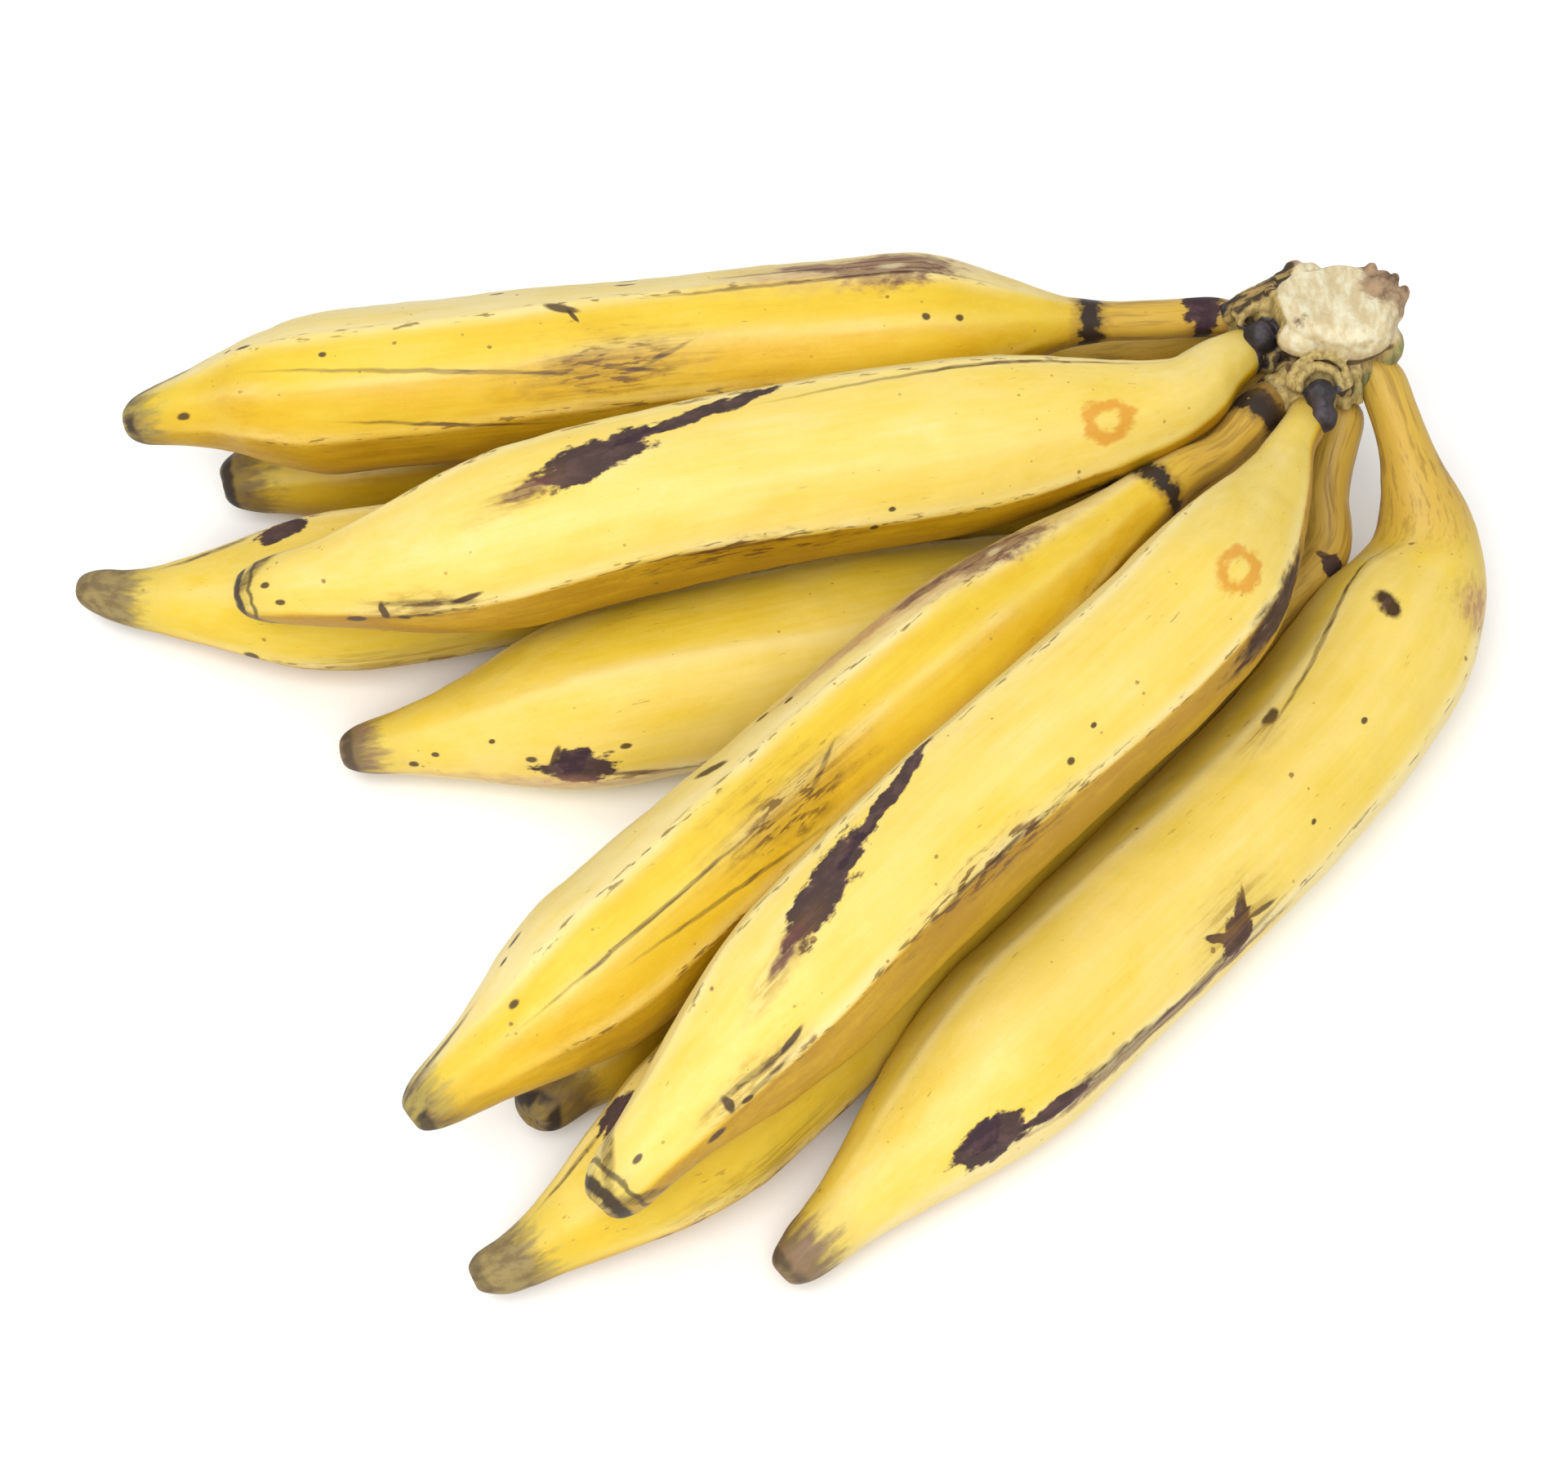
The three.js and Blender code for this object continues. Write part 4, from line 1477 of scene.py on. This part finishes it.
class CrownFinish:
    """The crown's material: cream cut face, tan sides, olive collars, brown torn edges and black knobs, with
    painted shade in the grooves, on the right flank and in the recess between the knobs, and a painted shadow
    line under the block's overhanging edge.
    """

    FLANK_LEAN = 0.91
    FLANK_GRAIN = (1.5, 1.5, 11.0)

    def make(self) -> bpy.types.Material:
        """Make the crown's material.

        Returns:
            The material.
        """
        sh = Shader("crown_wood")
        place = sh.scaled(sh.node("ShaderNodeTexCoord", None, None, "Object"), 1000.0)
        turn = (0.4, 0.3, 0.6)
        fibre = sh.noise(sh.stretch(place, (1 / 1.3, 1 / 1.3, 1 / 8.0), turn=(0.2, 0.15, 0.0)), 3.0, 0.6)
        strand = sh.noise(sh.stretch(place, (1 / 3.0, 1 / 8.0, 1 / 3.0), turn=turn), 4.0, 0.6)
        cloud = sh.noise(sh.stretch(place, (1 / 6.0, 1 / 6.0, 1 / 6.0), turn=turn), 4.0, 0.6)
        along_flank = {"Vector": place, "Rotation": (0.0, self.FLANK_LEAN, 0.0), "Scale": self.FLANK_GRAIN}
        flank = sh.noise(sh.node("ShaderNodeMapping", {"vector_type": "TEXTURE"}, along_flank), 2.0, 0.5)
        edge = (cloud - 0.5) * 0.8 + (fibre - 0.5) * 0.5
        cut = sh.attribute("cut", "Fac")

        def two(pattern: Socket, first: str, second: str) -> Socket:
            """Mix two of the crown's colours by a pattern."""
            return sh.mix(pattern, srgb(first), srgb(second))

        def share(tone: Tone, spread: Socket, low: float, high: float) -> Socket:
            """Give how much of a tone each place has, with an uneven edge."""
            return sh.ramp(sh.attribute(tone.value, "Fac") + spread, low, high)

        olive = two(sh.ramp(fibre, 0.32, 0.62), "847040", "AC965C")
        tan = two(sh.ramp(fibre, 0.3, 0.7), "96784A", "C0AA74")
        cream = two(sh.ramp(strand, 0.35, 0.7), "BAA880", "CFC8AA")
        moss_and_shade = two(sh.ramp(fibre, 0.35, 0.65), "5C5A38", "8E8A50")
        brown = two(sh.ramp(cloud * 0.7 + fibre * 0.3, 0.36, 0.62), "58422E", "9C8264")
        bark = two(sh.ramp(flank, 0.46, 0.64), "3A2C1E", "927A46")
        char = two(sh.ramp(cloud, 0.45, 0.7), "1E181A", "443A42")
        side = sh.mix(sh.attribute("block", "Fac"), olive, tan)
        colour = sh.mix(sh.ramp(cut + edge * 0.4, 0.1, 0.7), side, cream)
        # The dark green-grey regions; on the right flank this colour is painted shade.
        colour = sh.mix(share(Tone.OLIVE, edge, 0.3, 0.6), colour, moss_and_shade)
        colour = sh.mix(share(Tone.BROWN, edge, 0.3, 0.6), colour, brown)
        # Dark fibres on the left side; in the recess between the knobs this colour is partly painted shade.
        colour = sh.mix(share(Tone.BARK, edge * 0.7, 0.3, 0.5), colour, bark)
        # Painted shadow: a dark line under the block's overhanging front edge.
        lip = sh.ramp(sh.attribute("lip", "Fac") + edge * 0.5, 0.3, 0.65)
        colour = sh.mix(lip * 0.85, colour, srgb("4A3216"))
        # Painted shade: darker in the grooves, and less on the cut face.
        depth = sh.ramp(sh.attribute("groove", "Fac") + (fibre - 0.5) * 0.3, 0.06, 0.42)
        colour = sh.mix(depth * (0.62 - cut * 0.4), colour, srgb("3A2A18"))
        dark = share(Tone.CHAR, edge * 0.5, 0.34, 0.5)
        colour = sh.mix(dark, colour, char)
        height = fibre * 0.5 + strand * 0.3 + cloud * 0.3
        sockets = {"Base Color": colour, "Roughness": 0.72 + cloud * 0.12 - dark * 0.2, "IOR": 1.45}
        return sh.finish(sockets, height, 0.6, 0.0009)


@dataclass
class Studio:
    """The pale floor, the soft light and the camera at the photograph's angle."""

    target: Point = (4.0, 11.0, 20.0)
    distance: float = 1150.0
    elevation: float = 55.0
    lens: float = 100.0
    sensor: float = 36.0
    floor_size: float = 6.0
    floor_gap: float = 0.0002
    key_power: float = 12.0
    fill_power: float = 28.0
    world_strength: float = 0.69

    def add_camera(self) -> None:
        """Place the camera and look through it."""
        rise = math.radians(self.elevation)
        back = Vector((0.0, -math.cos(rise), math.sin(rise)))
        data = bpy.data.cameras.new("camera")
        data.lens = self.lens
        data.sensor_width = self.sensor
        data.sensor_fit = "HORIZONTAL"
        data.clip_end = 20.0
        camera = bpy.data.objects.new("camera", data)
        camera.location = (Vector(self.target) + back * self.distance) * MM
        camera.rotation_euler = (math.radians(90 - self.elevation), 0.0, 0.0)
        bpy.context.scene.collection.objects.link(camera)
        bpy.context.scene.camera = camera

    def add_floor(self) -> None:
        """Lay the pale floor under the fruit."""
        deselect_all()
        bpy.ops.mesh.primitive_plane_add(size=self.floor_size, location=(0.0, 0.0, -self.floor_gap))
        floor = bpy.context.object
        floor.name = "floor"
        shader = Shader("floor_paper")
        place = shader.node("ShaderNodeTexCoord", None, None, "Object")
        grain = shader.noise(shader.scaled(place, 90.0), 2.0)
        tone = shader.mix(grain, srgb("F4F3F1"), srgb("F8F8F7"))
        paper = shader.finish({"Base Color": tone, "Roughness": 0.9}, grain, 0.02, 0.0002)
        floor.data.materials.append(paper)

    def add_light(self, name: str, place: Point, aim: Point, size: float, power: float, tint: Colour) -> None:
        """Add one soft square lamp.

        Args:
            name: Name of the lamp.
            place: Where it hangs, in metres.
            aim: What it points at, in metres.
            size: Side of the lamp in metres.
            power: Its power in watts.
            tint: Its colour.
        """
        data = bpy.data.lights.new(name, "AREA")
        data.shape = "SQUARE"
        data.size = size
        data.energy = power
        data.color = tint[:3]
        lamp = bpy.data.objects.new(name, data)
        lamp.location = place
        lamp.rotation_euler = (Vector(aim) - Vector(place)).to_track_quat("-Z", "Y").to_euler()
        bpy.context.scene.collection.objects.link(lamp)

    def add_lights(self) -> None:
        """Light the scene softly: a lamp overhead on the left, a stronger one from the front near the camera,
        and a white world all round.
        """
        white = srgb("FFFFFF")
        middle = (0.0, 0.0, 0.03)
        self.add_light("key", (-0.5, -0.1, 2.1), middle, 1.6, self.key_power, white)
        self.add_light("fill", (-0.15, -1.05, 1.5), middle, 1.2, self.fill_power, white)
        world = bpy.data.worlds.new("studio")
        world.use_nodes = True
        background = world.node_tree.nodes["Background"]
        background.inputs["Color"].default_value = white
        background.inputs["Strength"].default_value = self.world_strength
        bpy.context.scene.world = world
        bpy.context.scene.view_settings.view_transform = "Standard"


class PlantainHand:
    """The whole hand: ten fingers and their crown."""

    def __init__(self) -> None:
        """Lay out the fingers and the crown."""
        self.fingers = [Finger(node, size, seed) for seed, (node, size) in enumerate(FINGERS.items())]
        self.crown = Crown()

    def _settle(self, piece: bpy.types.Object, node: str, finish: bpy.types.Material) -> None:
        """Dress a piece and let it stand for its node.

        Args:
            piece: The finished piece.
            node: The node that it replaces.
            finish: The piece's material.
        """
        piece.data.materials.clear()
        piece.data.materials.append(finish)
        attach(piece, "root")
        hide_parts(node)
        triangles = sum(len(face.vertices) - 2 for face in piece.data.polygons)
        log.info("%s: %d triangles", piece.name, triangles)

    def build(self) -> None:
        """Model and dress every piece."""
        for finger in self.fingers:
            others = [other for other in self.fingers if other is not finger]
            piece = finger.model(others)
            self._settle(piece, finger.node, PeelFinish(finger).make())
        self._settle(self.crown.model(self.fingers), self.crown.node, CrownFinish().make())


def main() -> None:
    """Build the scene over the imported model."""
    logging.basicConfig(level=logging.INFO, format="%(message)s")
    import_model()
    studio = Studio()
    studio.add_camera()
    studio.add_floor()
    studio.add_lights()
    PlantainHand().build()
    deselect_all()


if __name__ == "__main__":
    main()
